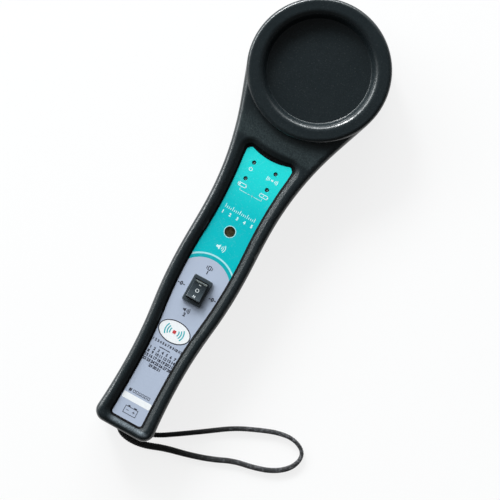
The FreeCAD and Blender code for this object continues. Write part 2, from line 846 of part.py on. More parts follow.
def switch_plunger():
    """Round-nosed pin between rocker and blade."""
    low = blade_top_z + plunger_gap + plunger_radius
    nose = Part.makeSphere(plunger_radius, Vector(0, switch_y, low))
    pin = rod(plunger_radius, rocker_bottom_z + plunger_grip - low, 0, switch_y, low)
    return nose.fuse(pin).removeSplitter()


def plunger_spring():
    """Spring round the plunger, as a sleeve of its outline."""
    low = blade_top_z + plunger_gap + spring_collar_gap
    sleeve = rod(plunger_radius + spring_gap + spring_wall, rocker_bottom_z - low, 0, switch_y, low)
    return sleeve.cut(rod(plunger_radius + spring_gap, rocker_bottom_z - low, 0, switch_y, low))


def circuit_board():
    """Board with rounded corners and clearance holes for its screws."""
    board = box(-board_half_width, board_half_width, board_end_y, board_top_y, board_rest_z, board_top_z)
    board = board.makeFillet(board_corner, upright_edges(board, board_end_y, board_top_y))
    holes = [rod(board_screw_radius + screw_clearance, over, x, y, 0) for x, y in board_posts]
    return board.cut(holes)


def detector_chip():
    half_length = chip_length * HALF
    half_width = chip_width * HALF
    return box(-half_length, half_length, chip_y - half_width, chip_y + half_width,
               board_top_z, board_top_z + chip_height)


def smoothing_capacitor():
    return rod(capacitor_radius, capacitor_length, capacitor_x, capacitor_y - capacitor_length * HALF,
               board_rest_z - capacitor_radius, Vector(0, 1, 0))


def sensitivity_trimmer():
    """Square body with a slotted dial, under the board."""
    half = trimmer_side * HALF
    low = board_rest_z - trimmer_height
    body = box(trimmer_x - half, trimmer_x + half, trimmer_y - half, trimmer_y + half, low, board_rest_z)
    dial = rod(trimmer_dial_radius, trimmer_slot_depth, trimmer_x, trimmer_y, low - trimmer_slot_depth)
    notch = trimmer_slot * HALF
    slot = box(trimmer_x - half, trimmer_x + half, trimmer_y - notch, trimmer_y + notch,
               low - trimmer_slot_depth, low - trimmer_slot_depth * HALF)
    return body.fuse(dial).cut(slot)


def coil_former():
    """Ring with a groove in its rim for the winding."""
    former = rod(former_outer_radius, former_height, 0, head_y, former_bottom_z)
    former = former.cut(rod(former_inner_radius, former_height, 0, head_y, former_bottom_z))
    groove = rod(former_outer_radius + wall, former_height - former_flange * 2, 0, head_y,
                 former_bottom_z + former_flange)
    groove = groove.cut(rod(former_inner_radius + former_web, former_height, 0, head_y, former_bottom_z))
    return former.cut(groove)


def search_coil():
    """Winding that fills the former's groove."""
    low = former_bottom_z + former_flange
    coil = rod(former_outer_radius, former_height - former_flange * 2, 0, head_y, low)
    return coil.cut(rod(former_inner_radius + former_web, former_height, 0, head_y, low))


def pan_head(x, y, seat_z, radius, height):
    """Head under its seat, with a cross for the driver."""
    low = seat_z - height
    head = rod(radius, height, x, y, low)
    head = head.makeChamfer(height * bury_share, level_edges(head, low))
    for reach_x, reach_y in ((radius, driver_slot), (driver_slot, radius)):
        span_x = reach_x * HALF
        span_y = reach_y * HALF
        head = head.cut(box(x - span_x, x + span_x, y - span_y, y + span_y, low, low + driver_slot_depth))
    return head


def case_screw(x, y, seat_z, length):
    head = pan_head(x, y, seat_z, case_screw_head_radius, case_screw_head_height)
    return head.fuse(rod(case_screw_radius, length, x, y, seat_z)).removeSplitter()


def board_screw(x, y):
    head = pan_head(x, y, board_rest_z, board_screw_head_radius, board_screw_head_height)
    return head.fuse(rod(board_screw_radius, board_screw_length, x, y, board_rest_z)).removeSplitter()


def battery():
    """Flat battery with its two studs towards the head."""
    top_y = battery_end_y + battery_length - stud_height
    half = battery_width * HALF
    block = box(-half, half, battery_end_y, top_y, battery_rest_z, battery_rest_z + battery_thickness)
    along = [edge for edge in block.Edges if edge.BoundBox.YLength > stud_pitch]
    block = block.makeFillet(battery_round, along)
    middle_z = battery_rest_z + battery_thickness * HALF
    small = rod(small_stud_radius, stud_height, -stud_pitch * HALF, top_y, middle_z, Vector(0, 1, 0))
    large = rod(large_stud_radius, stud_height, stud_pitch * HALF, top_y, middle_z, Vector(0, 1, 0))
    return block.fuse([small, large])


def battery_snap():
    """Moulded cap over both studs."""
    stud_y = battery_end_y + battery_length - stud_height
    middle_z = battery_rest_z + battery_thickness * HALF
    cap = box(-snap_width * HALF, snap_width * HALF, stud_y, stud_y + stud_height + snap_height,
              middle_z - snap_thickness * HALF, middle_z + snap_thickness * HALF)
    along = [edge for edge in cap.Edges if edge.BoundBox.YLength > snap_height]
    cap = cap.makeFillet(snap_round, along)
    for x, radius in ((-stud_pitch * HALF, small_stud_radius), (stud_pitch * HALF, large_stud_radius)):
        cap = cap.cut(rod(radius + pilot_clearance, stud_height, x, stud_y, middle_z, Vector(0, 1, 0)))
    return cap


def foam_pad():
    """Pad in the roof of the compartment that keeps the battery from rattling."""
    middle_y = battery_end_y + battery_length * HALF
    return box(-foam_width * HALF, foam_width * HALF, middle_y - foam_length * HALF,
               middle_y + foam_length * HALF, battery_rest_z + battery_thickness, bay_ceiling_z)


def charge_socket():
    """Socket body inside the end wall with a barrel through it and a bore along it."""
    along = Vector(0, 1, 0)
    barrel = rod(socket_barrel_radius, socket_barrel_length, socket_x, end_y, parting_z, along)
    half = socket_body_width * HALF
    tall = socket_body_height * HALF
    body = box(socket_x - half, socket_x + half, inner_end_y, inner_end_y + socket_body_length,
               parting_z - tall, parting_z + tall)
    bore = rod(socket_bore_radius, socket_bore_length, socket_x, end_y, parting_z, along)
    return barrel.fuse(body).cut(bore)


def bent_tube(route, radius, share, name):
    """Tube along straight runs that are joined by tangent arcs, each as large as its runs allow."""
    points = [Vector(*place) for place in route]
    edges = []
    radii = []
    here = points[0]
    for before, corner, after in zip(points, points[1:], points[2:]):
        run_in = corner - before
        run_out = after - corner
        turn = run_in.getAngle(run_out)
        shorter = min(run_in.Length, run_out.Length)
        setback = shorter * share
        radii.append(setback / math.tan(turn * HALF))
        start = corner - run_in.normalize() * setback
        end = corner + run_out.normalize() * setback
        inward = ((start + end) * HALF - corner).normalize()
        centre = corner + inward * math.hypot(setback, radii[-1])
        edges.append(Part.LineSegment(here, start).toShape())
        edges.append(Part.Arc(start, centre - inward * radii[-1], end).toShape())
        here = end
    edges.append(Part.LineSegment(here, points[-1]).toShape())
    path = Part.Wire(edges)
    section = Part.Wire(Part.makeCircle(radius, points[0], points[1] - points[0]))
    tube = path.makePipeShell([section], True, False)
    print(name, "radii", " ".join(f"{value:.1f}" for value in radii))
    ideal = math.pi * radius ** 2 * path.Length
    print(name, f"length {path.Length:.1f}, volume {tube.Volume:.1f}, section times length {ideal:.1f}")
    return tube


def strap_loop():
    """Cord of the strap: down out of one hole, round over the table and up into the other."""
    first, last = strap_holes
    places = [(x, end_y + y, strap_radius) for x, y in (first,) + strap_route + (last,)]
    route = [(places[0][0], places[0][1], knot_z)] + places + [(places[-1][0], places[-1][1], knot_z)]
    return bent_tube(route, strap_radius, strap_bend_share, "strap_loop")


def strap_knot():
    """Knot of the strap's two ends, lying on the inside of the strap end, with blunt ends of its own."""
    first, last = [Vector(x, end_y + y, knot_z) for x, y in strap_holes]
    along = (last - first).normalize()
    length = (last - first).Length + knot_radius * 2
    knot = Part.makeCylinder(knot_radius, length, first - along * knot_radius, along)
    rims = [edge for edge in knot.Edges if abs(edge.Length - math.tau * knot_radius) < knot_radius * 1e-3]
    return knot.makeChamfer(knot_radius * HALF, rims)


def coil_lead():
    """Lead from the search coil's former to the end of the board."""
    low = board_rest_z + board_thickness * HALF
    start_y = head_y - former_outer_radius
    bend_y = start_y - coil_lead_run
    route = ((0, start_y, low), (0, bend_y, low),
             (coil_lead_x, (bend_y + board_top_y) * HALF, low), (coil_lead_x, board_top_y, low))
    return bent_tube(route, lead_radius, strap_bend_share, "coil_lead")


def battery_lead(side):
    """Lead from the snap past the switch to the board."""
    x = battery_lead_x * side
    start_y = battery_end_y + battery_length + snap_height
    middle_z = battery_rest_z + battery_thickness * HALF
    route = ((x, start_y, middle_z), (x, (start_y + switch_y) * HALF, middle_z),
             (x, switch_y, battery_lead_z), (x, board_end_y, battery_lead_z))
    return bent_tube(route, lead_radius, strap_bend_share, "battery_lead")


def build():
    solids = {
        "front_cover": front_cover(),
        "rear_cover": rear_cover(),
        "battery_door": battery_door(),
        "label_overlay": label_overlay(),
        "sounder_case": sounder_case(),
        "sounder_disc": rod(disc_radius, disc_thickness, 0, sounder_y, board_top_z + disc_height),
        "switch_housing": switch_housing(),
        "switch_rocker": switch_rocker(),
        "switch_plunger": switch_plunger(),
        "plunger_spring": plunger_spring(),
        "contact_blade": contact_blade(),
        "circuit_board": circuit_board(),
        "detector_chip": detector_chip(),
        "smoothing_capacitor": smoothing_capacitor(),
        "sensitivity_trimmer": sensitivity_trimmer(),
        "coil_former": coil_former(),
        "search_coil": search_coil(),
        "coil_lead": coil_lead(),
        "battery": battery(),
        "battery_snap": battery_snap(),
        "battery_lead_plus": battery_lead(1),
        "battery_lead_minus": battery_lead(-1),
        "foam_pad": foam_pad(),
        "charge_socket": charge_socket(),
        "strap_loop": strap_loop(),
        "strap_knot": strap_knot(),
    }
    light_names = ("power_light", "metal_light", "battery_low_light", "charging_light")
    for name, (x, y) in zip(light_names, light_places()):
        solids[name] = light(x, y)
    for number in range(3):
        solids[f"switch_terminal_{number + 1}"] = switch_terminal(number)
    long_screws = [place for place in all_screw_places() if place[1] != head_y]
    short_screws = [place for place in all_screw_places() if place[1] == head_y]
    solids["case_screws"] = Part.makeCompound([case_screw(*place) for place in long_screws])
    solids["head_screws"] = Part.makeCompound([case_screw(*place) for place in short_screws])
    solids["board_screws"] = Part.makeCompound([board_screw(x, y) for x, y in board_posts])
    return solids


os.makedirs("parts", exist_ok=True)
for node, shape in build().items():
    if not shape.isValid() or (len(shape.Solids) != 1 and not node.endswith("screws")):
        print("check", node, shape.isValid(), len(shape.Solids))
    shape.exportStep(f"parts/{node}.step")
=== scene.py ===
import math

import bmesh
import bpy
from mathutils import Matrix, Vector


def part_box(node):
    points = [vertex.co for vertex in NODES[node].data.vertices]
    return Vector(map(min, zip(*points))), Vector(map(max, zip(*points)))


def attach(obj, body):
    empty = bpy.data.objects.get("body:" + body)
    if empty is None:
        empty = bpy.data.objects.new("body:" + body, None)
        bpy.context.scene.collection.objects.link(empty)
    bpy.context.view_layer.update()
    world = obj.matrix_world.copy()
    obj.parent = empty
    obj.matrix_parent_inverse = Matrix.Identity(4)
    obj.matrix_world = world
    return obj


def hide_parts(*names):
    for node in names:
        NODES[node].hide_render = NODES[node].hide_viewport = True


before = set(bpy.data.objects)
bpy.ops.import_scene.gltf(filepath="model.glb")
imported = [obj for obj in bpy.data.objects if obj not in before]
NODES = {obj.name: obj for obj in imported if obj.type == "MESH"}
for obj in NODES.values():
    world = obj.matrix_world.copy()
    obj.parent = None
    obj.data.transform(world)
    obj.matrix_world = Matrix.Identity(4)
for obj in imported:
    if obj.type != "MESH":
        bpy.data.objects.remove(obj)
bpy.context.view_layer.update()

# Shapes are written in millimetres and turned into metres with MM. +Y runs from the strap end to the head.
MM = 0.001


def srgb(red, green, blue):
    """Colour on the 0 to 255 scale as the linear colour that a shader takes."""
    linear = []
    for value in (red, green, blue):
        share = value / 255
        linear.append(share / 12.92 if share <= 0.04045 else ((share + 0.055) / 1.055) ** 2.4)
    return (*linear, 1)


# Shader helpers

# Sockets of the mix node when it mixes colours
MIX_SHARE = 0
MIX_FIRST = 6
MIX_SECOND = 7
MIX_RESULT = 2


def add_node(tree, kind, inputs=None, **settings):
    """Adds a node, sets its options, and links or fills its inputs."""
    made = tree.nodes.new(kind)
    for name, value in settings.items():
        setattr(made, name, value)
    for key, value in (inputs or {}).items():
        if isinstance(value, bpy.types.NodeSocket):
            tree.links.new(value, made.inputs[key])
        else:
            made.inputs[key].default_value = value
    return made


def drive(tree, node, **sockets):
    """Links sockets to a node's inputs. An underscore in a name stands for a space."""
    for label, socket in sockets.items():
        tree.links.new(socket, node.inputs[label.replace("_", " ")])


def calc(tree, operation, *values):
    """Output of a maths node on sockets and numbers."""
    return add_node(tree, "ShaderNodeMath", dict(enumerate(values)), operation=operation).outputs[0]


def product(tree, first, second):
    return calc(tree, "MULTIPLY", first, second)


def varied(tree, value, mask, change):
    """Number that changes by an amount where a mask shows."""
    return calc(tree, "MULTIPLY_ADD", mask, change, value)


def smooth_step(tree, value, low, high):
    """0 below low, 1 above high and smooth between them. It falls instead where low is the larger."""
    inputs = {"Value": value, "From Min": low, "From Max": high}
    return add_node(tree, "ShaderNodeMapRange", inputs, interpolation_type="SMOOTHSTEP").outputs[0]


def mix_colours(tree, share, first, second):
    """Colour between two others, each a socket or a plain colour."""
    inputs = {MIX_SHARE: share, MIX_FIRST: first, MIX_SECOND: second}
    return add_node(tree, "ShaderNodeMix", inputs, data_type="RGBA").outputs[MIX_RESULT]


def laid_over(tree, base, mask, amount, colour):
    """Base colour with another laid over it where a mask shows, up to an amount."""
    return mix_colours(tree, product(tree, mask, amount), base, colour)


def shaded(colour, share):
    """Colour made darker or brighter by a share, and no brighter than white."""
    return [min(1, value * share) for value in colour[:3]] + [1]


def piece_place(tree):
    """Position on the piece in its own frame, in metres."""
    return tree.nodes.new("ShaderNodeTexCoord").outputs["Object"]


def scaled_place(tree, size):
    """Position divided by a size, so that one cell of a pattern is that size."""
    share = calc(tree, "DIVIDE", 1, size)
    inputs = {0: piece_place(tree), "Scale": share}
    return add_node(tree, "ShaderNodeVectorMath", inputs, operation="SCALE").outputs[0]


def stretched(tree, place, scale):
    """Position scaled by its own amount on each axis, which draws a pattern out."""
    return add_node(tree, "ShaderNodeMapping", {"Vector": place, "Scale": scale}).outputs[0]


def axes(tree, vector):
    """X, Y and Z of a position or direction."""
    return add_node(tree, "ShaderNodeSeparateXYZ", {0: vector}).outputs


def noise(tree, scale, detail, place=None):
    """Smooth noise of 0 to 1 over the piece, or over another position."""
    where = piece_place(tree) if place is None else place
    inputs = {"Vector": where, "Scale": scale, "Detail": detail}
    return add_node(tree, "ShaderNodeTexNoise", inputs).outputs["Fac"]


def bump(tree, height, depth):
    """Normal from a height of 0 to 1 and a depth in metres."""
    inputs = {"Height": height, "Distance": depth, "Strength": 1}
    return add_node(tree, "ShaderNodeBump", inputs).outputs["Normal"]


def shader_group(name, inputs, outputs):
    """Empty node group with named number inputs and outputs."""
    tree = bpy.data.node_groups.new(name, "ShaderNodeTree")
    for label, default in inputs.items():
        socket = tree.interface.new_socket(label, in_out="INPUT", socket_type="NodeSocketFloat")
        socket.default_value = default
    for label in outputs:
        tree.interface.new_socket(label, in_out="OUTPUT", socket_type="NodeSocketFloat")
    return tree, tree.nodes.new("NodeGroupInput").outputs, tree.nodes.new("NodeGroupOutput")


def use_group(tree, group, **values):
    """Places a group in a material with its own values. An underscore in a name stands for a space."""
    inputs = {name.replace("_", " "): value for name, value in values.items()}
    return add_node(tree, "ShaderNodeGroup", inputs, node_tree=group).outputs


def new_material(name, **constants):
    """Material with a Principled shader whose plain sockets are set, and its tree."""
    material = bpy.data.materials.new(name)
    material.use_nodes = True
    tree = material.node_tree
    shader = tree.nodes["Principled BSDF"]
    for label, value in constants.items():
        shader.inputs[label.replace("_", " ")].default_value = value
    return material, tree, shader


# Effects that several materials share

def build_bead_grain():
    """Spark-eroded grain of moulded plastic: rounded beads of uneven height, and broad speckles of tone."""
    tree, given, out = shader_group("bead_grain", {"Bead Size": 0.0006}, ("Height", "Speckle"))
    place = scaled_place(tree, given["Bead Size"])
    bead = add_node(tree, "ShaderNodeTexVoronoi", {"Vector": place, "Scale": 1, "Smoothness": 0.6},
                    feature="SMOOTH_F1")
    round_bead = calc(tree, "SUBTRACT", 1, bead.outputs["Distance"])
    height = varied(tree, round_bead, noise(tree, 0.7, 2, place), 0.8)
    drive(tree, out, Height=height, Speckle=noise(tree, 0.35, 4, place))
    return tree


def build_edge_wear():
    """Rubbed strips along sharp edges, broken up by noise."""
    tree, given, out = shader_group("edge_wear", {"Width": 0.0006, "Amount": 0.5}, ("Wear",))
    rounded = add_node(tree, "ShaderNodeBevel", {"Radius": given["Width"]}, samples=4)
    surface = tree.nodes.new("ShaderNodeNewGeometry")
    inputs = {0: rounded.outputs["Normal"], 1: surface.outputs["Normal"]}
    turn = add_node(tree, "ShaderNodeVectorMath", inputs, operation="DOT_PRODUCT").outputs["Value"]
    edge = smooth_step(tree, calc(tree, "SUBTRACT", 1, turn), 0.02, 0.22)
    patchy = smooth_step(tree, noise(tree, 260, 5), 0.35, 0.65)
    drive(tree, out, Wear=product(tree, product(tree, edge, patchy), given["Amount"]))
    return tree


def build_handling_marks():
    """Broad patches that hands have polished, and specks of dust where a surface faces up."""
    tree, given, out = shader_group("handling_marks", {"Patch Size": 0.02}, ("Polish", "Dust"))
    place = scaled_place(tree, given["Patch Size"])
    polish = smooth_step(tree, noise(tree, 1, 3, place), 0.4, 0.65)
    surface = tree.nodes.new("ShaderNodeNewGeometry")
    upward = smooth_step(tree, axes(tree, surface.outputs["Normal"])["Z"], 0.2, 1)
    specks = smooth_step(tree, noise(tree, 22, 5, place), 0.56, 0.74)
    drive(tree, out, Polish=polish, Dust=product(tree, specks, upward))
    return tree


def build_hairline_scratches():
    """Two crossing sets of fine scratches, each set in one direction."""
    tree, given, out = shader_group("hairline_scratches", {"Spacing": 0.004}, ("Scratch",))
    sets = []
    for turn, stretch in ((0.5, 0.03), (-0.9, 0.045)):
        place = scaled_place(tree, given["Spacing"])
        turned = add_node(tree, "ShaderNodeVectorRotate", {"Vector": place, "Angle": turn},
                          rotation_type="Z_AXIS").outputs[0]
        lines = noise(tree, 9, 1, stretched(tree, turned, (stretch, 1, 1)))
        sets.append(smooth_step(tree, lines, 0.70, 0.76))
    drive(tree, out, Scratch=calc(tree, "MAXIMUM", *sets))
    return tree


BEAD_GRAIN = build_bead_grain()
EDGE_WEAR = build_edge_wear()
HANDLING_MARKS = build_handling_marks()
HAIRLINE_SCRATCHES = build_hairline_scratches()


# Finishes of the object's own pieces. Bead sizes, depths and other lengths in a finish are in metres.

# The printed film: places and radii in millimetres from the case's middle and from the arch's centre
ARCH_CENTRE_Y = -57.5
LAVENDER_RADIUS = 22.4
BAND_RADIUS = 25.05
ARCH_RADIUS = 26.35
ARCH_REACH = 60.0
DEEPENING_START_Y = 46.0
DEEPENING_END_Y = -6.0
TURQUOISE = srgb(34, 212, 210)
LOWER_TURQUOISE = srgb(0, 182, 189)
BAND_TURQUOISE = srgb(8, 166, 174)
ARCH_WHITE = srgb(166, 220, 226)
LAVENDER = srgb(174, 184, 203)

# Where the battery's jacket changes its tone
JACKET_JOIN_Y = -124.0

# Where the strap's painted sheen starts and where it is at its palest, on the way from the case
SHEEN_START_X = 42.0
SHEEN_END_X = 100.0

# Where the case is painted paler: on the neck a painted reflection, and on the end's slope scuffs where the
# wand is set down together with a painted highlight.
# Each zone has, in millimetres, its ends and where it is full along the case, then its middle and its outer
# and full half-widths across it.
# Paler neck: a painted reflection of the room.
NECK_PAINTED_REFLECTION = {
    "start_and_full": (55.5, 59.0),
    "end_and_full": (80.0, 64.0),
    "middle": 0.0,
    "half_widths": (40.0, 30.0),
    "amount": 0.8,
    "colour": srgb(51, 60, 62),
}
# Pale end slope: scuffs where the wand is set down, and a painted highlight where the slope faces the
# window.
END_SCUFFS_AND_PAINTED_HIGHLIGHT = {
    "start_and_full": (-175.0, -172.5),
    "end_and_full": (-169.5, -171.9),
    "middle": 4.0,
    "half_widths": (18.5, 10.0),
    "amount": 0.56,
    "colour": srgb(136, 146, 154),
}


def between(tree, value, places):
    """0 at the first of two places in millimetres, 1 at the second and smooth between them."""
    start, full = places
    return smooth_step(tree, value, start * MM, full * MM)


def scuff_and_painted_light_zone(tree, zone):
    """Share of a zone of the piece that is painted paler, broken up by noise: painted light, with scuffs in
    the end's zone.
    """
    place = axes(tree, piece_place(tree))
    started = between(tree, place["Y"], zone["start_and_full"])
    ahead = between(tree, place["Y"], zone["end_and_full"])
    away = calc(tree, "ABSOLUTE", calc(tree, "SUBTRACT", place["X"], zone["middle"] * MM))
    beside = between(tree, away, zone["half_widths"])
    patchy = varied(tree, 0.4, smooth_step(tree, noise(tree, 1100, 5), 0.36, 0.62), 0.6)
    return product(tree, product(tree, product(tree, started, ahead), beside), patchy)


def moulded_plastic(name, colour, worn_colour, roughness, bead_size, bead_depth, wear, specular=0.5,
                    zones=()):
    """Moulded plastic with beads, rubbed edges, zones painted paler as painted light, faint polish from
    handling and a little dust.
    """
    material, tree, shader = new_material(name, Specular_IOR_Level=specular)
    grain = use_group(tree, BEAD_GRAIN, Bead_Size=bead_size)
    rubbed = use_group(tree, EDGE_WEAR, Width=0.0005, Amount=wear)
    marks = use_group(tree, HANDLING_MARKS, Patch_Size=0.025)
    mottled = mix_colours(tree, grain["Speckle"], shaded(colour, 0.72), colour)
    worn_and_painted_light = mix_colours(tree, rubbed["Wear"], mottled, worn_colour)
    # Zones painted paler: a painted reflection on the neck, scuffs with a painted highlight on the end's
    # slope.
    for zone in zones:
        worn_and_painted_light = laid_over(tree, worn_and_painted_light, scuff_and_painted_light_zone(tree, zone), zone["amount"], zone["colour"])
    dusty = laid_over(tree, worn_and_painted_light, marks["Dust"], 0.04, srgb(170, 172, 170))
    uneven = varied(tree, roughness - 0.07, grain["Speckle"], 0.14)
    drive(tree, shader, Base_Color=dusty, Roughness=varied(tree, uneven, marks["Polish"], -0.08),
          Normal=bump(tree, grain["Height"], bead_depth))
    return material


def printed_film():
    """Printed film: turquoise above, an arch in deep and pale turquoise over the switch, lavender below."""
    material, tree, shader = new_material("printed_film", Specular_IOR_Level=0.32)
    place = axes(tree, piece_place(tree))
    rise = calc(tree, "MAXIMUM", calc(tree, "SUBTRACT", place["Y"], ARCH_CENTRE_Y * MM), 0)
    squares = calc(tree, "ADD", product(tree, place["X"], place["X"]), product(tree, rise, rise))
    reach = calc(tree, "SQRT", squares)
    bands = tree.nodes.new("ShaderNodeValToRGB")
    bands.color_ramp.interpolation = "CONSTANT"
    bands.color_ramp.elements.remove(bands.color_ramp.elements[1])
    bands.color_ramp.elements[0].color = LAVENDER
    for radius, colour in ((LAVENDER_RADIUS, BAND_TURQUOISE), (BAND_RADIUS, ARCH_WHITE)):
        bands.color_ramp.elements.new(radius / ARCH_REACH).color = colour
    tree.links.new(calc(tree, "DIVIDE", reach, ARCH_REACH * MM), bands.inputs["Fac"])
    deeper = between(tree, place["Y"], (DEEPENING_START_Y, DEEPENING_END_Y))
    turquoise = mix_colours(tree, deeper, TURQUOISE, LOWER_TURQUOISE)
    outside = calc(tree, "GREATER_THAN", reach, ARCH_RADIUS * MM)
    printed = mix_colours(tree, outside, bands.outputs["Color"], turquoise)
    marks = use_group(tree, HANDLING_MARKS, Patch_Size=0.03)
    scratches = use_group(tree, HAIRLINE_SCRATCHES, Spacing=0.005)
    grain = use_group(tree, BEAD_GRAIN, Bead_Size=0.00035)
    dusty = laid_over(tree, printed, marks["Dust"], 0.06, srgb(228, 230, 230))
    scuffed = laid_over(tree, dusty, scratches["Scratch"], 0.05, srgb(240, 244, 244))
    drive(tree, shader, Base_Color=scuffed, Roughness=varied(tree, 0.44, marks["Polish"], -0.10),
          Normal=bump(tree, grain["Height"], 0.000004))
    return material


def ink(name, colour):
    """Screen-printed ink: slightly uneven in tone."""
    material, tree, shader = new_material(name, Specular_IOR_Level=0.4)
    coat = noise(tree, 900, 3)
    drive(tree, shader, Base_Color=mix_colours(tree, coat, shaded(colour, 0.86), colour),
          Roughness=varied(tree, 0.44, coat, 0.12), Normal=bump(tree, coat, 0.000006))
    return material


def diffused_lens():
    """Pale diffused lens of an unlit indicator light."""
    material, tree, shader = new_material("diffused_lens", Specular_IOR_Level=0.5, Coat_Weight=0.4)
    cloud = noise(tree, 700, 3)
    scratches = use_group(tree, HAIRLINE_SCRATCHES, Spacing=0.001)
    drive(tree, shader, Base_Color=mix_colours(tree, cloud, srgb(226, 236, 236), srgb(244, 248, 248)),
          Roughness=varied(tree, 0.28, scratches["Scratch"], 0.2), Normal=bump(tree, cloud, 0.00002))
    return material


def rolled_metal(name, colour, dark_colour, roughness, line_scale):
    """Rolled or drawn metal: fine lines along it, tarnish in patches and brighter edges."""
    material, tree, shader = new_material(name, Metallic=1)
    lines = noise(tree, line_scale, 4, stretched(tree, piece_place(tree), (1, 0.04, 1)))
    tarnish = smooth_step(tree, noise(tree, 320, 4), 0.42, 0.68)
    toned = mix_colours(tree, tarnish, colour, dark_colour)
    rubbed = use_group(tree, EDGE_WEAR, Width=0.0003, Amount=0.6)
    drive(tree, shader, Base_Color=mix_colours(tree, rubbed["Wear"], toned, shaded(colour, 1.25)),
          Roughness=varied(tree, roughness - 0.1, lines, 0.2), Normal=bump(tree, lines, 0.00001))
    return material


def circuit_laminate():
    """Green solder mask over copper tracks, with a fine glass weave under it."""
    material, tree, shader = new_material("circuit_laminate", Coat_Weight=0.5)
    inputs = {"Vector": piece_place(tree), "Scale": 260, "Mortar Size": 0.06}
    cells = add_node(tree, "ShaderNodeTexBrick", inputs).outputs["Fac"]
    inputs = {"Vector": piece_place(tree), "Scale": 900, "Distortion": 0.4}
    weave = add_node(tree, "ShaderNodeTexWave", inputs).outputs["Fac"]
    tracks = mix_colours(tree, cells, srgb(20, 82, 42), srgb(58, 128, 66))
    drive(tree, shader, Base_Color=laid_over(tree, tracks, weave, 0.25, srgb(12, 60, 30)),
          Roughness=varied(tree, 0.32, weave, 0.08), Normal=bump(tree, cells, 0.00003))
    return material


def enamelled_winding():
    """Fine enamelled wire wound round the coil's axis: close lines stacked in height."""
    material, tree, shader = new_material("enamelled_winding", Metallic=0.7, Coat_Weight=0.6)
    inputs = {"Vector": piece_place(tree), "Scale": 420, "Distortion": 1.2}
    turns = add_node(tree, "ShaderNodeTexWave", inputs, bands_direction="Z").outputs["Fac"]
    drive(tree, shader, Base_Color=mix_colours(tree, turns, srgb(88, 40, 20), srgb(196, 110, 62)),
          Roughness=varied(tree, 0.42, turns, -0.12), Normal=bump(tree, turns, 0.00012))
    return material


def battery_jacket():
    """Printed metal jacket of the battery: two plain tones with a join, scratched and polished by use."""
    material, tree, shader = new_material("battery_jacket", Metallic=0.6)
    lower = calc(tree, "LESS_THAN", axes(tree, piece_place(tree))["Y"], JACKET_JOIN_Y * MM)
    marks = use_group(tree, HANDLING_MARKS, Patch_Size=0.012)
    scratch = use_group(tree, HAIRLINE_SCRATCHES, Spacing=0.003)["Scratch"]
    tones = mix_colours(tree, lower, srgb(176, 178, 182), srgb(52, 74, 112))
    drive(tree, shader, Base_Color=laid_over(tree, tones, scratch, 0.5, srgb(205, 206, 208)),
          Roughness=varied(tree, 0.38, marks["Polish"], -0.1), Normal=bump(tree, scratch, 0.00001))
    return material


def soft_foam():
    """Open-celled foam."""
    material, tree, shader = new_material("soft_foam", Specular_IOR_Level=0.2)
    inputs = {"Vector": piece_place(tree), "Scale": 1400}
    cells = add_node(tree, "ShaderNodeTexVoronoi", inputs).outputs["Distance"]
    drive(tree, shader, Base_Color=mix_colours(tree, cells, srgb(30, 30, 32), srgb(78, 78, 80)),
          Roughness=varied(tree, 0.85, cells, 0.1), Normal=bump(tree, cells, 0.0004))
    return material


def filament_yarn(name, colour, sheen_colours=()):
    """Filament yarn: fine fibres with a soft sheen. Away from the case it is painted paler and flecked, a
    painted sheen and glare.
    """
    material, tree, shader = new_material(name, Specular_IOR_Level=0.25, Sheen_Weight=0.25,
                                          Sheen_Roughness=0.5)
    fibres = noise(tree, 2600, 4)
    tone = colour
    # Paler flecked greys away from the case: a painted sheen and glare.
    if sheen_colours:
        painted_sheen = mix_colours(tree, smooth_step(tree, noise(tree, 520, 2), 0.45, 0.72), *sheen_colours)
        away = between(tree, axes(tree, piece_place(tree))["X"], (SHEEN_START_X, SHEEN_END_X))
        tone = mix_colours(tree, away, colour, painted_sheen)
    drive(tree, shader, Base_Color=laid_over(tree, tone, fibres, 0.6, srgb(10, 10, 11)),
          Roughness=varied(tree, 0.62, fibres, 0.2), Normal=bump(tree, fibres, 0.00008))
    return material


CASE_PLASTIC = moulded_plastic("case_plastic_beaded", srgb(30, 37, 40), srgb(66, 72, 74), roughness=0.24,
                               bead_size=0.0007, bead_depth=0.00007, wear=0.25)
# The cover's zones are painted light: a painted reflection on the neck, and a painted highlight with scuffs
# on the end's slope.
COVER_PLASTIC = moulded_plastic("front_cover_plastic", srgb(31, 38, 41), srgb(66, 72, 74), roughness=0.24,
                                bead_size=0.0007, bead_depth=0.00007, wear=0.25, zones=(NECK_PAINTED_REFLECTION, END_SCUFFS_AND_PAINTED_HIGHLIGHT))
SWITCH_PLASTIC = moulded_plastic("switch_nylon", srgb(60, 69, 75), srgb(120, 130, 134), roughness=0.36,
                                 bead_size=0.0003, bead_depth=0.000012, wear=0.5)
# Paler copy of the switch's plastic for the upper ridges: a painted highlight where they face the light.
RIDGE_HIGHLIGHT_PLASTIC = moulded_plastic("ridges_painted_highlight", srgb(176, 186, 184), srgb(222, 226, 220), roughness=0.30,
                                bead_size=0.0003, bead_depth=0.000006, wear=0.8)
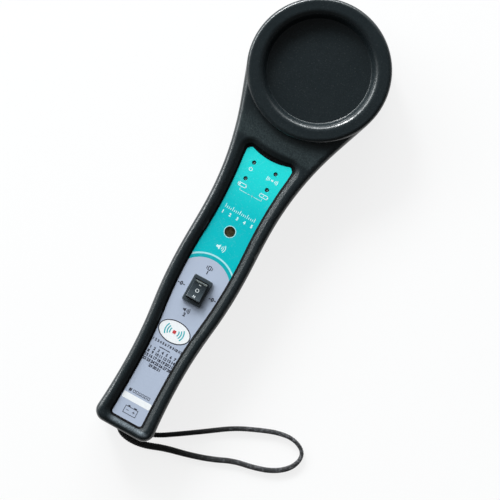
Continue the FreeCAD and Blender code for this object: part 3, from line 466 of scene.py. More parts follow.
# Near-black finish of the bead round the label: painted shade and painted shadow.
SHADE_BLACK = moulded_plastic("painted_shade_black", srgb(5, 5, 6), srgb(12, 12, 13), roughness=0.65,
                          bead_size=0.0005, bead_depth=0.00002, wear=0.1, specular=0.1)
COMPONENT_PLASTIC = moulded_plastic("component_epoxy", srgb(30, 30, 32), srgb(80, 80, 82), roughness=0.5,
                                    bead_size=0.0002, bead_depth=0.00001, wear=0.3, specular=0.4)
TRIMMER_PLASTIC = moulded_plastic("trimmer_blue", srgb(34, 78, 150), srgb(120, 150, 200), roughness=0.35,
                                  bead_size=0.0003, bead_depth=0.00001, wear=0.3)
FORMER_PLASTIC = moulded_plastic("former_natural_nylon", srgb(214, 212, 200), srgb(236, 236, 230),
                                 roughness=0.5, bead_size=0.0005, bead_depth=0.00002, wear=0.3)
RED_SLEEVE = moulded_plastic("lead_sleeve_red", srgb(150, 24, 20), srgb(190, 80, 70), roughness=0.4,
                             bead_size=0.0003, bead_depth=0.00001, wear=0.1)
BLACK_SLEEVE = moulded_plastic("lead_sleeve_black", srgb(26, 26, 27), srgb(70, 70, 70), roughness=0.42,
                               bead_size=0.0003, bead_depth=0.00001, wear=0.1)
FILM = printed_film()
PALE_INK = ink("pale_ink", srgb(214, 246, 248))
DARK_INK = ink("dark_ink", srgb(46, 48, 60))
TURQUOISE_INK = ink("turquoise_ink", srgb(60, 176, 184))
RED_INK = ink("red_ink", srgb(200, 62, 66))
WHITE_INK = ink("white_ink", srgb(244, 246, 248))
MARK_INK = ink("mark_ink", srgb(206, 212, 214))
LENS = diffused_lens()
BRASS = rolled_metal("sounder_brass", srgb(222, 196, 146), srgb(160, 136, 98), roughness=0.5,
                     line_scale=1200)
ZINC = rolled_metal("zinc_plated_steel", srgb(186, 188, 192), srgb(120, 122, 126), roughness=0.35,
                    line_scale=1500)
LAMINATE = circuit_laminate()
WINDING = enamelled_winding()
JACKET = battery_jacket()
FOAM = soft_foam()
# The two paler greys are the painted sheen away from the case.
YARN = filament_yarn("strap_yarn", srgb(20, 20, 21), (srgb(50, 50, 52), srgb(116, 116, 120)))
THREAD = filament_yarn("binding_thread", srgb(44, 41, 38))

LIGHT_NODES = ("power_light", "metal_light", "battery_low_light", "charging_light")
NODE_FINISHES = (
    (COVER_PLASTIC, "front_cover"),
    (CASE_PLASTIC, "rear_cover", "battery_door"),
    (FILM, "label_overlay"),
    (SWITCH_PLASTIC, "switch_housing", "switch_rocker"),
    (LENS, *LIGHT_NODES),
    (BRASS, "sounder_disc", "contact_blade", "switch_terminal_1", "switch_terminal_2", "switch_terminal_3"),
    (ZINC, "plunger_spring", "case_screws", "head_screws", "board_screws"),
    (LAMINATE, "circuit_board"),
    (COMPONENT_PLASTIC, "sounder_case", "detector_chip", "smoothing_capacitor", "charge_socket",
     "battery_snap"),
    (TRIMMER_PLASTIC, "sensitivity_trimmer"),
    (FORMER_PLASTIC, "switch_plunger", "coil_former"),
    (WINDING, "search_coil"),
    (BLACK_SLEEVE, "coil_lead", "battery_lead_minus"),
    (RED_SLEEVE, "battery_lead_plus"),
    (JACKET, "battery"),
    (FOAM, "foam_pad"),
)
for material, *nodes in NODE_FINISHES:
    for node in nodes:
        NODES[node].data.materials.clear()
        NODES[node].data.materials.append(material)


# Pieces in mesh code

def place_object(name, data):
    """Object in the scene with this mesh, lamp or camera."""
    made = bpy.data.objects.new(name, data)
    bpy.context.scene.collection.objects.link(made)
    return made


def place_mesh(name, mesh, material, smooth=False):
    """Finishes a mesh under work and places it in the scene."""
    data = bpy.data.meshes.new(name)
    mesh.to_mesh(data)
    mesh.free()
    for face in data.polygons:
        face.use_smooth = smooth
    data.materials.append(material)
    return place_object(name, data)


def mesh_piece(name, mesh, material, body, smooth=False):
    """Places a piece of the object on a body."""
    piece = place_mesh(name, mesh, material, smooth)
    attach(piece, body)
    return piece


def node_middle(node):
    """Middle of a node's box, in millimetres."""
    low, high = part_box(node)
    return (low + high) / (2 * MM)


def round_angles(count):
    """Angles at equal steps round a circle."""
    return [math.tau * number / count for number in range(count)]


def ring_about(centre, side, lift, count):
    """Points round a centre. Two directions give the plane, the width and the height of their ring."""
    return [centre + side * math.cos(turn) + lift * math.sin(turn) for turn in round_angles(count)]


def join_rings(mesh, before, after):
    """Faces between two rings of vertices."""
    for index in range(len(before)):
        follow = (index + 1) % len(before)
        mesh.faces.new((before[index], before[follow], after[follow], after[index]))


def add_tube(mesh, rings):
    """Joins rings of points into a tube with closed ends."""
    made = [[mesh.verts.new(point) for point in ring] for ring in rings]
    for before, after in zip(made, made[1:]):
        join_rings(mesh, before, after)
    mesh.faces.new(list(reversed(made[0])))
    mesh.faces.new(made[-1])


def add_hoop(mesh, rings):
    """Joins rings of points into a tube that closes on itself."""
    made = [[mesh.verts.new(point) for point in ring] for ring in rings]
    for before, after in zip(made, made[1:] + made[:1]):
        join_rings(mesh, before, after)


# The strap: a braid on one smooth line. Each width stands at a share of the length. The binding's core has,
# at each of its rings, a share of the span and of the width.

STRAP_DIAMETER = 3.6
STRAP_WIDTHS = (
    (0.0, 3.5),
    (0.08, 4.0),
    (0.20, 4.1),
    (0.36, 3.9),
    (0.46, 3.2),
    (0.52, 4.2),
    (0.60, 4.3),
    (0.74, 4.8),
    (0.86, 5.5),
    (0.93, 5.0),
    (1.0, 3.5),
)
STRAP_ROUTE = (
    (8.0, -171.0, 12.3),
    (8.0, -171.0, 1.8),
    (15.6, -173.6, 1.8),
    (25.0, -171.4, 1.8),
    (40.5, -161.2, 1.8),
    (57.0, -149.8, 1.8),
    (73.5, -138.0, 1.8),
    (90.0, -130.4, 1.8),
    (104.5, -124.8, 1.8),
    (118.0, -123.4, 1.8),
    (129.0, -129.6, 1.8),
    (127.0, -142.0, 1.8),
    (116.4, -151.4, 1.8),
    (102.0, -156.6, 1.8),
    (85.5, -159.6, 1.8),
    (70.5, -166.6, 1.8),
    (53.0, -172.2, 1.8),
    (35.5, -176.2, 1.8),
    (21.0, -181.8, 1.8),
    (9.0, -183.4, 1.8),
    (-1.0, -180.8, 1.8),
    (-4.5, -172.6, 1.8),
    (-4.5, -172.6, 12.3),
)
BRAID_STRANDS = 12
BRAID_LAY = 11.0
BRAID_STEP = 0.7
STRAND_WIDTH = 0.52
STRAND_THICKNESS = 0.30
STRAND_CORNERS = 6
WEAVE_DEPTH = 0.14
CORE_RADIUS = 1.35
CORE_CORNERS = 12
BINDING_RADIUS = 2.8
THREAD_RADIUS = 0.45
THREAD_STEPS = 20
THREAD_CORNERS = 8
UPRIGHT_SHARE = 0.05
BINDING_CORE = ((-0.02, 0.5), (0, 0.9), (0.03, 1), (0.97, 1), (1, 0.9), (1.02, 0.5))


def smooth_line(name, route):
    """Points along the smooth curve that a route controls, in metres."""
    curve = bpy.data.curves.new(name, "CURVE")
    curve.dimensions = "3D"
    curve.resolution_u = 16
    spline = curve.splines.new("NURBS")
    spline.points.add(len(route) - 1)
    for point, (x, y, z) in zip(spline.points, route):
        point.co = (x * MM, y * MM, z * MM, 1)
    spline.order_u = 3
    spline.use_endpoint_u = True
    carrier = bpy.data.objects.new(name, curve)
    mesh = bpy.data.meshes.new_from_object(carrier)
    points = [vertex.co.copy() for vertex in mesh.vertices]
    bpy.data.objects.remove(carrier)
    bpy.data.curves.remove(curve)
    bpy.data.meshes.remove(mesh)
    return points


def evenly_spaced(points, step):
    """Points at equal distances along a line, and its length."""
    along = [0.0]
    for before, after in zip(points, points[1:]):
        along.append(along[-1] + (after - before).length)
    count = max(2, round(along[-1] / step))
    placed = []
    index = 0
    for number in range(count + 1):
        target = along[-1] * number / count
        while index < len(points) - 2 and along[index + 1] < target:
            index += 1
        share = (target - along[index]) / max(along[index + 1] - along[index], 1e-9)
        placed.append(points[index].lerp(points[index + 1], share))
    return placed, along[-1]


def carried_frames(points):
    """Two directions square to a line at each of its points, carried along it without twist."""
    frames = []
    side = None
    for index in range(len(points)):
        ahead = points[min(index + 1, len(points) - 1)] - points[max(index - 1, 0)]
        ahead.normalize()
        if side is None:
            side = ahead.orthogonal().normalized()
        side = (side - ahead * side.dot(ahead)).normalized()
        frames.append((side, ahead.cross(side)))
    return frames


def strap_stretch(share):
    """How much the hollow braid is spread sideways at a share of its length, and flattened in height."""
    for (before, low), (after, high) in zip(STRAP_WIDTHS, STRAP_WIDTHS[1:]):
        if share <= after:
            break
    part = (share - before) / (after - before)
    part = part * part * (3 - 2 * part)
    wide = (low + (high - low) * part) / STRAP_DIAMETER
    return wide, min(1, 2 - wide)


def level_frames(points):
    """Two directions square to a line at each of its points, the first level unless the line is upright."""
    frames = []
    for side, lift in carried_frames(points):
        ahead = side.cross(lift)
        level = ahead.cross(Vector((0, 0, 1)))
        if level.length < UPRIGHT_SHARE:
            level = frames[-1][0] if frames else side
        level = (level - ahead * level.dot(ahead)).normalized()
        frames.append((level, ahead.cross(level)))
    return frames


def braid_strand(line, frames, number, hand):
    """Rings of one flat strand that winds round the line and passes over and under the other hand's."""
    rings = []
    phase = math.tau * number / (BRAID_STRANDS / 2)
    for index, (centre, (side, lift)) in enumerate(zip(line, frames)):
        turn = hand * (math.tau * index * BRAID_STEP / BRAID_LAY + phase)
        weave = math.cos(BRAID_STRANDS / 4 * turn + (0 if hand > 0 else math.pi))
        radius = STRAP_DIAMETER / 2 - STRAND_THICKNESS + WEAVE_DEPTH * weave - WEAVE_DEPTH
        wide, high = strap_stretch(index / (len(line) - 1))
        outward = side * (math.cos(turn) * wide) + lift * (math.sin(turn) * high)
        across = lift * (math.cos(turn) * high) - side * (math.sin(turn) * wide)
        middle = centre + outward * radius * MM
        rings.append(ring_about(middle, across * STRAND_WIDTH * MM, outward * STRAND_THICKNESS * MM,
                                STRAND_CORNERS))
    return rings


def strap_binding():
    """Waxed thread in close turns over the joined ends of the strap, in place of the knot's plain solid."""
    start, end = Vector(STRAP_ROUTE[0]), Vector(STRAP_ROUTE[-1])
    along = (end - start).normalized()
    side = along.orthogonal().normalized()
    lift = along.cross(side)
    reach = BINDING_RADIUS - THREAD_RADIUS
    start -= along * reach
    span = (end - start).length + reach
    steps = span / (THREAD_RADIUS * 2) * THREAD_STEPS
    path = []
    for step in range(round(steps) + 1):
        angle = math.tau * step / THREAD_STEPS
        outward = side * math.cos(angle) + lift * math.sin(angle)
        path.append((start + along * (span * step / steps) + outward * reach) * MM)
    thickness = THREAD_RADIUS * MM
    thread = [ring_about(place, across * thickness, up * thickness, THREAD_CORNERS)
              for place, (across, up) in zip(path, carried_frames(path))]
    core = []
    for share, width in BINDING_CORE:
        middle = (start + along * span * share) * MM
        size = reach * width * MM
        core.append(ring_about(middle, side * size, lift * size, THREAD_CORNERS))
    mesh = bmesh.new()
    add_tube(mesh, thread)
    add_tube(mesh, core)
    binding = mesh_piece("strap_binding", mesh, THREAD, "case", smooth=True)
    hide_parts("strap_knot")
    return binding


def braided_strap(binding):
    """Strap in place of its CAD tube: strands of both hands over a core, with no gap between them."""
    line, length = evenly_spaced(smooth_line("strap_route", STRAP_ROUTE), BRAID_STEP * MM)
    frames = level_frames(line)
    mesh = bmesh.new()
    for hand in (1, -1):
        for number in range(BRAID_STRANDS // 2):
            add_tube(mesh, braid_strand(line, frames, number, hand))
    core = []
    for index, (centre, (side, lift)) in enumerate(zip(line, frames)):
        wide, high = strap_stretch(index / (len(line) - 1))
        size = CORE_RADIUS * MM
        core.append(ring_about(centre, side * (wide * size), lift * (high * size), CORE_CORNERS))
    add_tube(mesh, core)
    strap = mesh_piece("wrist_strap", mesh, YARN, "case", smooth=True)
    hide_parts("strap_loop")


# Print on the label. Shapes are flat polygons in millimetres.

LABEL_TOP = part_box("label_overlay")[1].z / MM
INK_THICKNESS = 0.03
CAPTION_DROP = 5.3
LINE = 0.5
JOINT_CORNERS = 12
ROUNDING_STEPS = 6
FIGURE_SHARE_OF_FONT = 0.7
FIGURE_BOLDNESS = 0.07


def ellipse(x, y, half_width, half_height, steps):
    return [[(x + half_width * math.cos(angle), y + half_height * math.sin(angle))
             for angle in round_angles(steps)]]


def oval_band(x, y, inner, outer, start, sweep, steps):
    """Part of a ring between two ellipses, each given by its half-width and half-height."""
    quads = []
    for number in range(steps):
        corners = []
        for share, edge in ((number, inner), (number, outer), (number + 1, outer), (number + 1, inner)):
            angle = math.radians(start + sweep * share / steps)
            corners.append((x + edge[0] * math.cos(angle), y + edge[1] * math.sin(angle)))
        quads.append(corners)
    return quads


def band(x, y, inner, outer, start=0, sweep=360, steps=48):
    """Part of a round ring, from a start angle and over a sweep in degrees."""
    return oval_band(x, y, (inner, inner), (outer, outer), start, sweep, steps)


def waves(x, y, radii, line, half_spread, steps):
    """Short arcs at these radii, on both sides of a place."""
    shapes = []
    for radius in radii:
        for facing in (0, 180):
            shapes += band(x, y, radius, radius + line, facing - half_spread, 2 * half_spread, steps)
    return shapes


def block(x, y, width, height, corner=0.0):
    """Rectangle about a place, its corners rounded to a radius or left square."""
    half_width = width / 2 - corner
    half_height = height / 2 - corner
    if corner == 0:
        return [[(x - half_width, y - half_height), (x + half_width, y - half_height),
                 (x + half_width, y + half_height), (x - half_width, y + half_height)]]
    outline = []
    for quarter, (side, rise) in enumerate(((1, 1), (-1, 1), (-1, -1), (1, -1))):
        for step in range(ROUNDING_STEPS + 1):
            angle = math.radians(90 * quarter + 90 * step / ROUNDING_STEPS)
            outline.append((x + side * half_width + corner * math.cos(angle),
                            y + rise * half_height + corner * math.sin(angle)))
    return [outline]


def stroke(points, width):
    """Line of a width through points, with round joints."""
    shapes = []
    for (x1, y1), (x2, y2) in zip(points, points[1:]):
        length = math.hypot(x2 - x1, y2 - y1)
        across = (-(y2 - y1) / length * width / 2, (x2 - x1) / length * width / 2)
        shapes.append([(x1 - across[0], y1 - across[1]), (x2 - across[0], y2 - across[1]),
                       (x2 + across[0], y2 + across[1]), (x1 + across[0], y1 + across[1])])
    for x, y in points:
        shapes += ellipse(x, y, width / 2, width / 2, JOINT_CORNERS)
    return shapes


def dash(x, y, length, line):
    """Short level line about a place."""
    return stroke([(x - length / 2, y), (x + length / 2, y)], line)


def plus(x, y, size, line):
    return dash(x, y, size, line) + stroke([(x, y - size / 2), (x, y + size / 2)], line)


def frame_line(x, y, width, height, line):
    """Outline of a rectangle about a place."""
    left, right = x - width / 2, x + width / 2
    low, high = y - height / 2, y + height / 2
    return stroke([(left, low), (right, low), (right, high), (left, high), (left, low)], line)


def figures(text, height, x, y):
    """Plain, rather bold figures centred on a place, as flat shapes."""
    curve = bpy.data.curves.new("figures", "FONT")
    curve.body = text
    curve.size = height / FIGURE_SHARE_OF_FONT
    curve.offset = FIGURE_BOLDNESS * height
    curve.align_x = "CENTER"
    curve.align_y = "CENTER"
    curve.resolution_u = 3
    carrier = bpy.data.objects.new("figures", curve)
    mesh = bpy.data.meshes.new_from_object(carrier)
    shapes = [[(mesh.vertices[index].co.x + x, mesh.vertices[index].co.y + y) for index in face.vertices]
              for face in mesh.polygons]
    bpy.data.meshes.remove(mesh)
    bpy.data.objects.remove(carrier)
    bpy.data.curves.remove(curve)
    return shapes


def label_surface(x, y):
    return LABEL_TOP


def print_layer(name, shapes, material, body="case", surface=label_surface, lift=0.0):
    """Thin layer of ink with these flat shapes, on a surface that is given as a height over x and y."""
    mesh = bmesh.new()
    for outline in shapes:
        low = [mesh.verts.new(Vector((x, y, surface(x, y) + lift)) * MM) for x, y in outline]
        high = [mesh.verts.new(vertex.co + Vector((0, 0, INK_THICKNESS)) * MM) for vertex in low]
        mesh.faces.new(high)
        join_rings(mesh, low, high)
    bmesh.ops.recalc_face_normals(mesh, faces=mesh.faces)
    mesh_piece(name, mesh, material, body)


def power_symbol(x, y):
    return band(x, y, 1.0, 1.0 + LINE, 120, 300, 24) + stroke([(x, y + 0.5), (x, y + 1.7)], LINE)


def metal_symbol(x, y):
    """Small block of metal with waves on both sides."""
    return block(x, y, 1.8, 1.3) + waves(x, y, (2.1, 3.1, 4.1), LINE, 24, 10)


def cell_symbol(x, y, fill):
    """Battery cell, filled from the left by a share."""
    width, height = 6.2, 2.5
    shapes = frame_line(x, y, width, height, LINE)
    shapes += block(x + width / 2 + 0.45, y, 0.5, 1.0)
    if fill > 0:
        span = (width - 1.2) * fill
        shapes += block(x - width / 2 + 0.6 + span / 2, y, span, height - 1.1)
    return shapes


def charge_symbol(x, y):
    """Battery cell with a flash in it."""
    flash = [[(x + 0.5, y + 0.85), (x - 0.75, y - 0.1), (x + 0.05, y - 0.1)],
             [(x - 0.05, y + 0.1), (x + 0.75, y + 0.1), (x - 0.5, y - 0.85)]]
    return cell_symbol(x, y, 0) + flash


def speaker_symbol(x, y, size):
    """Loudspeaker with three waves."""
    shapes = block(x - 2.1 * size, y, 1.0 * size, 1.2 * size)
    shapes.append([(x - 1.6 * size, y - 0.6 * size), (x - 0.4 * size, y - 1.5 * size),
                   (x - 0.4 * size, y + 1.5 * size), (x - 1.6 * size, y + 0.6 * size)])
    for radius in (1.1, 2.1, 3.1):
        shapes += band(x - 0.6 * size, y, radius * size, radius * size + LINE, -38, 76, 12)
    return shapes


def shake_symbol(x, y, size):
    """Small case that shakes: an upright box with wavy lines on both sides."""
    shapes = frame_line(x, y, 1.5 * size, 2.4 * size, LINE * size)
    for side in (-1, 1):
        wave = []
        for step in range(5):
            away = 1.7 + 0.3 * (step % 2)
            wave.append((x + side * away * size, y + (0.9 - 0.45 * step) * size))
        shapes += stroke(wave, LINE * size * 0.8)
    return shapes


def strength_scale(x, y):
    """Scale of ticks with plain figures under its longer ones."""
    tick_count, pitch, ticks_to_figure = 17, 1.5, 4
    left = x - pitch * (tick_count - 1) / 2
    shapes = []
    for number in range(tick_count):
        height = 3.0 if number % ticks_to_figure == 0 else 1.7
        shapes += block(left + pitch * number, y - 1.5 + height / 2, 0.42, height)
    for number in range(0, tick_count, ticks_to_figure):
        shapes += figures(str(number // ticks_to_figure + 1), 2.3, left + pitch * number, y - 5.0)
    return shapes


def bracket_symbol(left, right, y, drop):
    """Bracket that joins two captions, with a gap for what stands in its middle."""
    gap = 3.0
    middle = (left + right) / 2
    shapes = stroke([(left, y + drop), (left, y), (middle - gap, y)], 0.3)
    return shapes + stroke([(right, y + drop), (right, y), (middle + gap, y)], 0.3)


def flat_battery_symbol(x, y, width, height):
    """Flat battery with its two studs and their signs."""
    shapes = frame_line(x, y, width, height, 0.45)
    for side, stud in ((-1, 1.7), (1, 2.3)):
        shapes += block(x + side * width / 4, y + height / 2 + 0.6, stud, 1.0)
    return shapes + dash(x - width / 4, y, 1.6, 0.4) + plus(x + width / 4, y, 1.6, 0.4)


def light_captions():
    """Signs of the lights, the bracket between two of them, the strength scale, and the sounder's sign."""
    power, metal, low, charge = (node_middle(node) for node in LIGHT_NODES)
    sounder = node_middle("sounder_disc")
    shapes = power_symbol(power.x, power.y - CAPTION_DROP)
    shapes += metal_symbol(metal.x, metal.y - CAPTION_DROP)
    shapes += cell_symbol(low.x, low.y - CAPTION_DROP, 0.25)
    shapes += charge_symbol(charge.x, charge.y - CAPTION_DROP)
    bracket_y = low.y - CAPTION_DROP * 1.75
    shapes += bracket_symbol(low.x, charge.x, bracket_y, 1.6)
    shapes += dash(-1.3, bracket_y, 1.2, 0.4) + plus(1.3, bracket_y, 1.2, 0.4)
    shapes += band(sounder.x, sounder.y, 4.15, 4.5, steps=64)
    shapes += speaker_symbol(-0.3, sounder.y - 13.3, 1.35)
    shapes += strength_scale(0, sounder.y + 15.9)
    print_layer("light_captions", shapes, PALE_INK)


def switch_legends():
    """Figures and signs round the switch."""
    switch = node_middle("switch_housing")
    shapes = shake_symbol(0, switch.y + 18.7, 1.15) + figures("1", 2.6, 0, switch.y + 15.0)
    shapes += speaker_symbol(-0.2, switch.y - 16.6, 1.0) + figures("2", 2.6, 0, switch.y - 20.2)
    for x in (-13.0, 13.0):
        shapes += figures("0", 2.7, x, switch.y - 0.8)
        for gap in (-2.1, 2.1):
            shapes += dash(x + gap, switch.y - 0.8, 1.1, 0.65)
    print_layer("switch_legends", shapes, DARK_INK)


OVAL_Y = -95.2
OVAL_HALF_WIDTH = 12.8
OVAL_HALF_HEIGHT = 8.5
OVAL_RIM = 0.75


def oval_panel():
    """White oval with a dark rim, holding waves about a small block of metal."""
    print_layer("oval_ground", ellipse(0, OVAL_Y, OVAL_HALF_WIDTH, OVAL_HALF_HEIGHT, 64), WHITE_INK)
    inside = (OVAL_HALF_WIDTH - OVAL_RIM, OVAL_HALF_HEIGHT - OVAL_RIM)
    rim = oval_band(0, OVAL_Y, inside, (OVAL_HALF_WIDTH, OVAL_HALF_HEIGHT), 0, 360, 72)
    print_layer("oval_rim", rim, DARK_INK, lift=INK_THICKNESS)
    arcs = waves(0, OVAL_Y, (3.0, 4.9, 6.8), 0.9, 34, 16)
    print_layer("oval_waves", arcs, TURQUOISE_INK, lift=INK_THICKNESS)
    print_layer("oval_block", block(0, OVAL_Y, 2.6, 2.6, 0.5), RED_INK, lift=INK_THICKNESS)


MONTH_ROW_Y = -106.5
MONTH_ROW_WIDTH = 22.6
DAY_ROW_Y = -113.0
DAY_ROW_PITCH = 3.1
DAY_PITCH = 3.4


def inspection_grid():
    """Plain figures for marking the months and days of checks."""
    shapes = []
    for number in range(12):
        x = MONTH_ROW_WIDTH * number / 11 - MONTH_ROW_WIDTH / 2
        shapes += figures(str(number + 1), 1.8, x, MONTH_ROW_Y)
    shapes += dash(0, MONTH_ROW_Y - 3.4, 8.4, 0.6)
    for day in range(31):
        row, column = divmod(day, 7)
        left = -3 * DAY_PITCH if row < 4 else -DAY_PITCH
        shapes += figures(str(day + 1), 2.1, left + DAY_PITCH * column, DAY_ROW_Y - DAY_ROW_PITCH * row)
    print_layer("inspection_grid", shapes, DARK_INK)


def end_panel():
    """Number sign with boxes, white strip to write on, and a sign for the kind of battery."""
    sign = figures("#", 2.4, -7.8, -147.6)
    for number in range(6):
        sign += frame_line(-4.6 + 2.4 * number, -147.6, 1.5, 1.9, 0.35)
    print_layer("number_sign", sign, DARK_INK)
    print_layer("writing_strip", block(0.2, -152.7, 23.0, 4.7, 0.8), WHITE_INK)
    print_layer("battery_sign", flat_battery_symbol(0, -162.0, 10.0, 5.4), DARK_INK)


COLLAR_INNER_RADIUS = 1.55
COLLAR_OUTER_RADIUS = 1.98
COLLAR_DEPTH = 0.4
COLLAR_PROFILE = ((COLLAR_OUTER_RADIUS, -COLLAR_DEPTH), (COLLAR_OUTER_RADIUS, 0.0), (1.68, 0.0),
                  (COLLAR_INNER_RADIUS, -0.12), (COLLAR_INNER_RADIUS, -COLLAR_DEPTH))
COLLAR_STEPS = 48


def light_collars():
    """Rings of printed film that close the gap between each light and its hole."""
    mesh = bmesh.new()
    for node in LIGHT_NODES:
        middle = node_middle(node)
        rings = []
        for angle in round_angles(COLLAR_STEPS):
            rings.append([Vector((middle.x + radius * math.cos(angle), middle.y + radius * math.sin(angle),
                                  LABEL_TOP + drop)) * MM for radius, drop in COLLAR_PROFILE])
        add_hoop(mesh, rings)
    bmesh.ops.recalc_face_normals(mesh, faces=mesh.faces)
    mesh_piece("light_collars", mesh, FILM, "case")


# Black bead between the label and the foot of the rim: painted shade of a groove round the label, and at the
# upper end a painted shadow of the rim. Each corner is a distance out and a height.

SHADE_BEAD_PROFILE = ((-0.2, 25.82), (-0.05, 25.98), (0.35, 26.32), (0.9, 26.58), (1.45, 26.80), (1.5, 26.55))
SHADOW_SPREAD = 1.1
SHADOW_SPREAD_REACH = 15.0
SHADOW_CORNER_SPREAD = 0.9
SHADOW_CORNER_Y = 47.5
SHADOW_CORNER_FADE = 3.5
SHADOW_TIP_SPREAD = 0.35
SHADOW_TIP_REACH = 4.0


def label_outline():
    """Outline of the label's top face, in order, in millimetres."""
    node = NODES["label_overlay"]
    mesh = bmesh.new()
    mesh.from_mesh(node.data)
    mesh.transform(node.matrix_world)
    bmesh.ops.remove_doubles(mesh, verts=mesh.verts, dist=0.001 * MM)
    top = LABEL_TOP * MM - 0.01 * MM
    faces = [face for face in mesh.faces if face.normal.z > 0.9 and face.calc_center_median().z > top]
    chosen = set(faces)
    rim = [edge for edge in mesh.edges if sum(face in chosen for face in edge.link_faces) == 1]
    follow = {}
    for edge in rim:
        for here, there in (edge.verts, reversed(edge.verts)):
            follow.setdefault(here, []).append(there)
    start = min(follow, key=lambda vertex: vertex.co.y)
    path = [start, follow[start][0]]
    while path[-1] is not start:
        ahead = [vertex for vertex in follow[path[-1]] if vertex is not path[-2]]
        path.append(ahead[0])
    places = [Vector((vertex.co.x, vertex.co.y)) / MM for vertex in path[:-1]]
    mesh.free()
    return places


def painted_shadow_spread(place, tips):
    """How far the black bead reaches over the label's upper end as a painted shadow of the rim: most in its
    middle, a little at each tip.
    """
    if place.y < SHADOW_CORNER_Y:
        return 0
    even = SHADOW_CORNER_SPREAD * min(1, (place.y - SHADOW_CORNER_Y) / SHADOW_CORNER_FADE)
    nearest = min((place - tip).length for tip in tips)
    tip = SHADOW_TIP_SPREAD * max(0, 1 - nearest / SHADOW_TIP_REACH)
    return even + tip + SHADOW_SPREAD * max(0, 1 - (place.x / SHADOW_SPREAD_REACH) ** 2)


def painted_shade_bead():
    """Thin black bead in the corner round the label: painted shade, widened at the upper end into a painted
    shadow of the rim.
    """
    places = label_outline()
    followers = places[1:] + places[:1]
    turning = sum(here.x * there.y - there.x * here.y for here, there in zip(places, followers))
    outward = 1 if turning > 0 else -1
    tips = [max(places, key=lambda place: place.y + side * place.x) for side in (-1, 1)]
    rings = []
    for index, (here, there) in enumerate(zip(places, followers)):
        ahead = (there - places[index - 1]).normalized()
        normal = Vector((ahead.y, -ahead.x)) * outward
        ring = []
        for out, height in SHADE_BEAD_PROFILE:
            if out < 0:
                out -= painted_shadow_spread(here, tips)
            place = here + normal * out
            ring.append(Vector((place.x, place.y, height)) * MM)
        rings.append(ring)
    mesh = bmesh.new()
    add_hoop(mesh, rings)
    bmesh.ops.recalc_face_normals(mesh, faces=mesh.faces)
    mesh_piece("painted_shade_bead", mesh, SHADE_BLACK, "case")


# Marks and grip ridges on the rocker. The ridges' tilt is in radians.

ROCKER_MIDDLE_Z = 29.5
ROCKER_HOLLOW_RADIUS = 17.55
RIDGE_COUNT = 13
RIDGE_PITCH = 0.72
RIDGE_FROM_MIDDLE = 6.35
RIDGE_SIZE = Vector((0.42, 1.1, 0.5)) * MM
RIDGE_ROUNDING = 0.1
RIDGE_TILT = 0.36


def rocker_surface(x, y):
    """Height of the rocker's hollowed top at a place."""
    away = y - node_middle("switch_housing").y
    return ROCKER_MIDDLE_Z + ROCKER_HOLLOW_RADIUS - math.sqrt(ROCKER_HOLLOW_RADIUS ** 2 - away ** 2)


def rocker_marks():
    """One bar at the rocker's upper end, two at its lower end and a ring in its middle."""
    middle = node_middle("switch_housing").y
    shapes = block(0, middle + 4.4, 2.0, 0.65)
    shapes += band(0, middle, 0.95, 1.5, steps=40)
    for side in (-1, 1):
        shapes += block(side * 0.6, middle - 4.9, 0.5, 1.7)
    print_layer("rocker_marks", shapes, MARK_INK, "rocker", rocker_surface)


def rocker_ridges(name, side, material):
    """Short grip ridges at the upper (1) or lower (-1) end of the rocker."""
    y = node_middle("switch_housing").y + side * RIDGE_FROM_MIDDLE
    tilt = Matrix.Rotation(side * RIDGE_TILT, 4, "X") @ Matrix.Diagonal((*RIDGE_SIZE, 1))
    mesh = bmesh.new()
    for number in range(RIDGE_COUNT):
        x = RIDGE_PITCH * (number - (RIDGE_COUNT - 1) / 2)
        place = Matrix.Translation(Vector((x, y, rocker_surface(x, y))) * MM)
        made = bmesh.ops.create_cube(mesh, size=1, matrix=place @ tilt)
        edges = list({edge for vertex in made["verts"] for edge in vertex.link_edges})
        bmesh.ops.bevel(mesh, geom=edges, offset=RIDGE_ROUNDING * MM, segments=2, affect="EDGES")
    mesh_piece(name, mesh, material, "rocker")


# Floor, light and camera

PHOTO_MIDDLE = Vector((19.4, -15.4, 27.0)) * MM
PHOTO_TURN = 29.0
PHOTO_WIDTH = 367.6
CAMERA_DISTANCE = 1300.0
CAMERA_SENSOR = 36.0
FLOOR_HALF_SIZE = 4000.0
FLOOR_GLOW = 0.82

# The surround's glow: the window's side, how squarely a direction faces it where the glow starts and is
# full, and how steeply the direction rises where the glow ends and is full
WINDOW_SIDE = (-0.766, 0.643, 0.0)
GLOW_START, GLOW_FULL = 0.1, 0.75
GLOW_TOP, GLOW_FULL_BELOW = 0.74, 0.48
WINDOW_GLOW = 2.6
ROOM_GLOW = 0.08


def shadow_floor():
    """Pale floor that the camera and reflections see nearly white, but with the object's shadow."""
    material = bpy.data.materials.new("pale_floor")
    material.use_nodes = True
    tree = material.node_tree
    tree.nodes.remove(tree.nodes["Principled BSDF"])
    matt = add_node(tree, "ShaderNodeBsdfDiffuse", {"Color": srgb(236, 236, 236)})
    glow = add_node(tree, "ShaderNodeEmission", {"Color": (1, 1, 1, 1), "Strength": 1})
    rays = tree.nodes.new("ShaderNodeLightPath").outputs
    seen = calc(tree, "MAXIMUM", rays["Is Camera Ray"], rays["Is Glossy Ray"])
    seen = calc(tree, "MAXIMUM", seen, rays["Is Transmission Ray"])
    share = product(tree, seen, FLOOR_GLOW)
    mixed = add_node(tree, "ShaderNodeMixShader", {0: share, 1: matt.outputs[0], 2: glow.outputs[0]})
    drive(tree, tree.nodes["Material Output"], Surface=mixed.outputs[0])
    mesh = bmesh.new()
    bmesh.ops.create_grid(mesh, x_segments=8, y_segments=8, size=FLOOR_HALF_SIZE * MM)
    floor = place_mesh("floor", mesh, material)


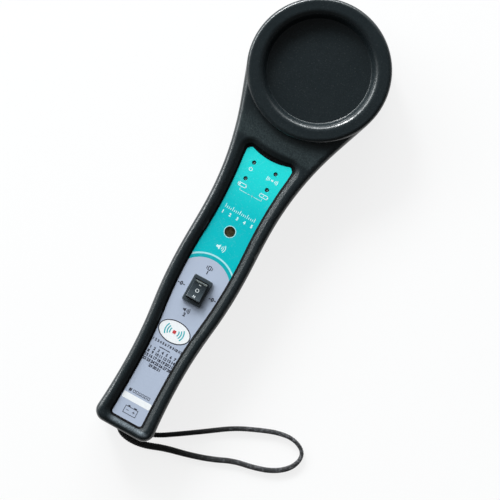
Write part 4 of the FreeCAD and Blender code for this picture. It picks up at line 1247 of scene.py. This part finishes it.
def studio_world():
    """Dim surround that is bright on the window's side, up to a soft upper edge."""
    world = bpy.data.worlds.new("studio")
    bpy.context.scene.world = world
    world.use_nodes = True
    tree = world.node_tree
    direction = tree.nodes.new("ShaderNodeTexCoord").outputs["Generated"]
    towards = add_node(tree, "ShaderNodeVectorMath", {0: direction, 1: WINDOW_SIDE}, operation="DOT_PRODUCT")
    near_window = smooth_step(tree, towards.outputs["Value"], GLOW_START, GLOW_FULL)
    under_top = smooth_step(tree, axes(tree, direction)["Z"], GLOW_TOP, GLOW_FULL_BELOW)
    glow = varied(tree, ROOM_GLOW, product(tree, near_window, under_top), WINDOW_GLOW)
    drive(tree, tree.nodes["Background"], Strength=glow)
    tree.nodes["Background"].inputs["Color"].default_value = (0.96, 1, 1, 1)


def window_lamp(azimuth, elevation, away, width, height, power):
    """Broad, low window: its direction in degrees, distance and size in metres, and power in watts."""
    data = bpy.data.lights.new("window_lamp", "AREA")
    data.shape = "RECTANGLE"
    data.color = (0.93, 0.98, 1.0)
    data.size = width
    data.size_y = height
    data.energy = power
    lamp = place_object("window_lamp", data)
    turn, rise = math.radians(azimuth), math.radians(elevation)
    lamp.location = (away * math.cos(rise) * math.cos(turn), away * math.cos(rise) * math.sin(turn),
                     away * math.sin(rise))
    lamp.rotation_euler = (math.radians(90 - elevation), 0, math.radians(azimuth + 90))


def low_sun(azimuth, elevation, spread, strength):
    """Sunlight through the window: its direction and its apparent width in degrees."""
    data = bpy.data.lights.new("low_sun", "SUN")
    data.angle = math.radians(spread)
    data.energy = strength
    lamp = place_object("low_sun", data)
    lamp.rotation_euler = (0, math.radians(90 - elevation), math.radians(azimuth))


def photo_camera():
    """Camera straight above, turned so that the wand leans to the right as in the photograph."""
    data = bpy.data.cameras.new("photo_camera")
    data.sensor_width = CAMERA_SENSOR
    data.lens = CAMERA_SENSOR * CAMERA_DISTANCE / PHOTO_WIDTH
    camera = place_object("photo_camera", data)
    camera.location = PHOTO_MIDDLE + Vector((0, 0, CAMERA_DISTANCE * MM))
    camera.rotation_euler = (0, 0, math.radians(PHOTO_TURN))
    bpy.context.scene.camera = camera


photo_camera()
braided_strap(strap_binding())
light_captions()
switch_legends()
oval_panel()
inspection_grid()
end_panel()
# Black bead round the label: painted shade of a groove and painted shadow of the rim.
painted_shade_bead()
light_collars()
rocker_marks()
# The upper ridges take the paler finish as a painted highlight; the lower ones keep the switch's plastic.
rocker_ridges("upper_ridges", 1, RIDGE_HIGHLIGHT_PLASTIC)
rocker_ridges("lower_ridges", -1, SWITCH_PLASTIC)
shadow_floor()
studio_world()
window_lamp(azimuth=140, elevation=22.5, away=2.5, width=5.2, height=0.6, power=124)
low_sun(azimuth=139, elevation=22.5, spread=13, strength=2.1)
bpy.context.scene.view_settings.view_transform = "Standard"
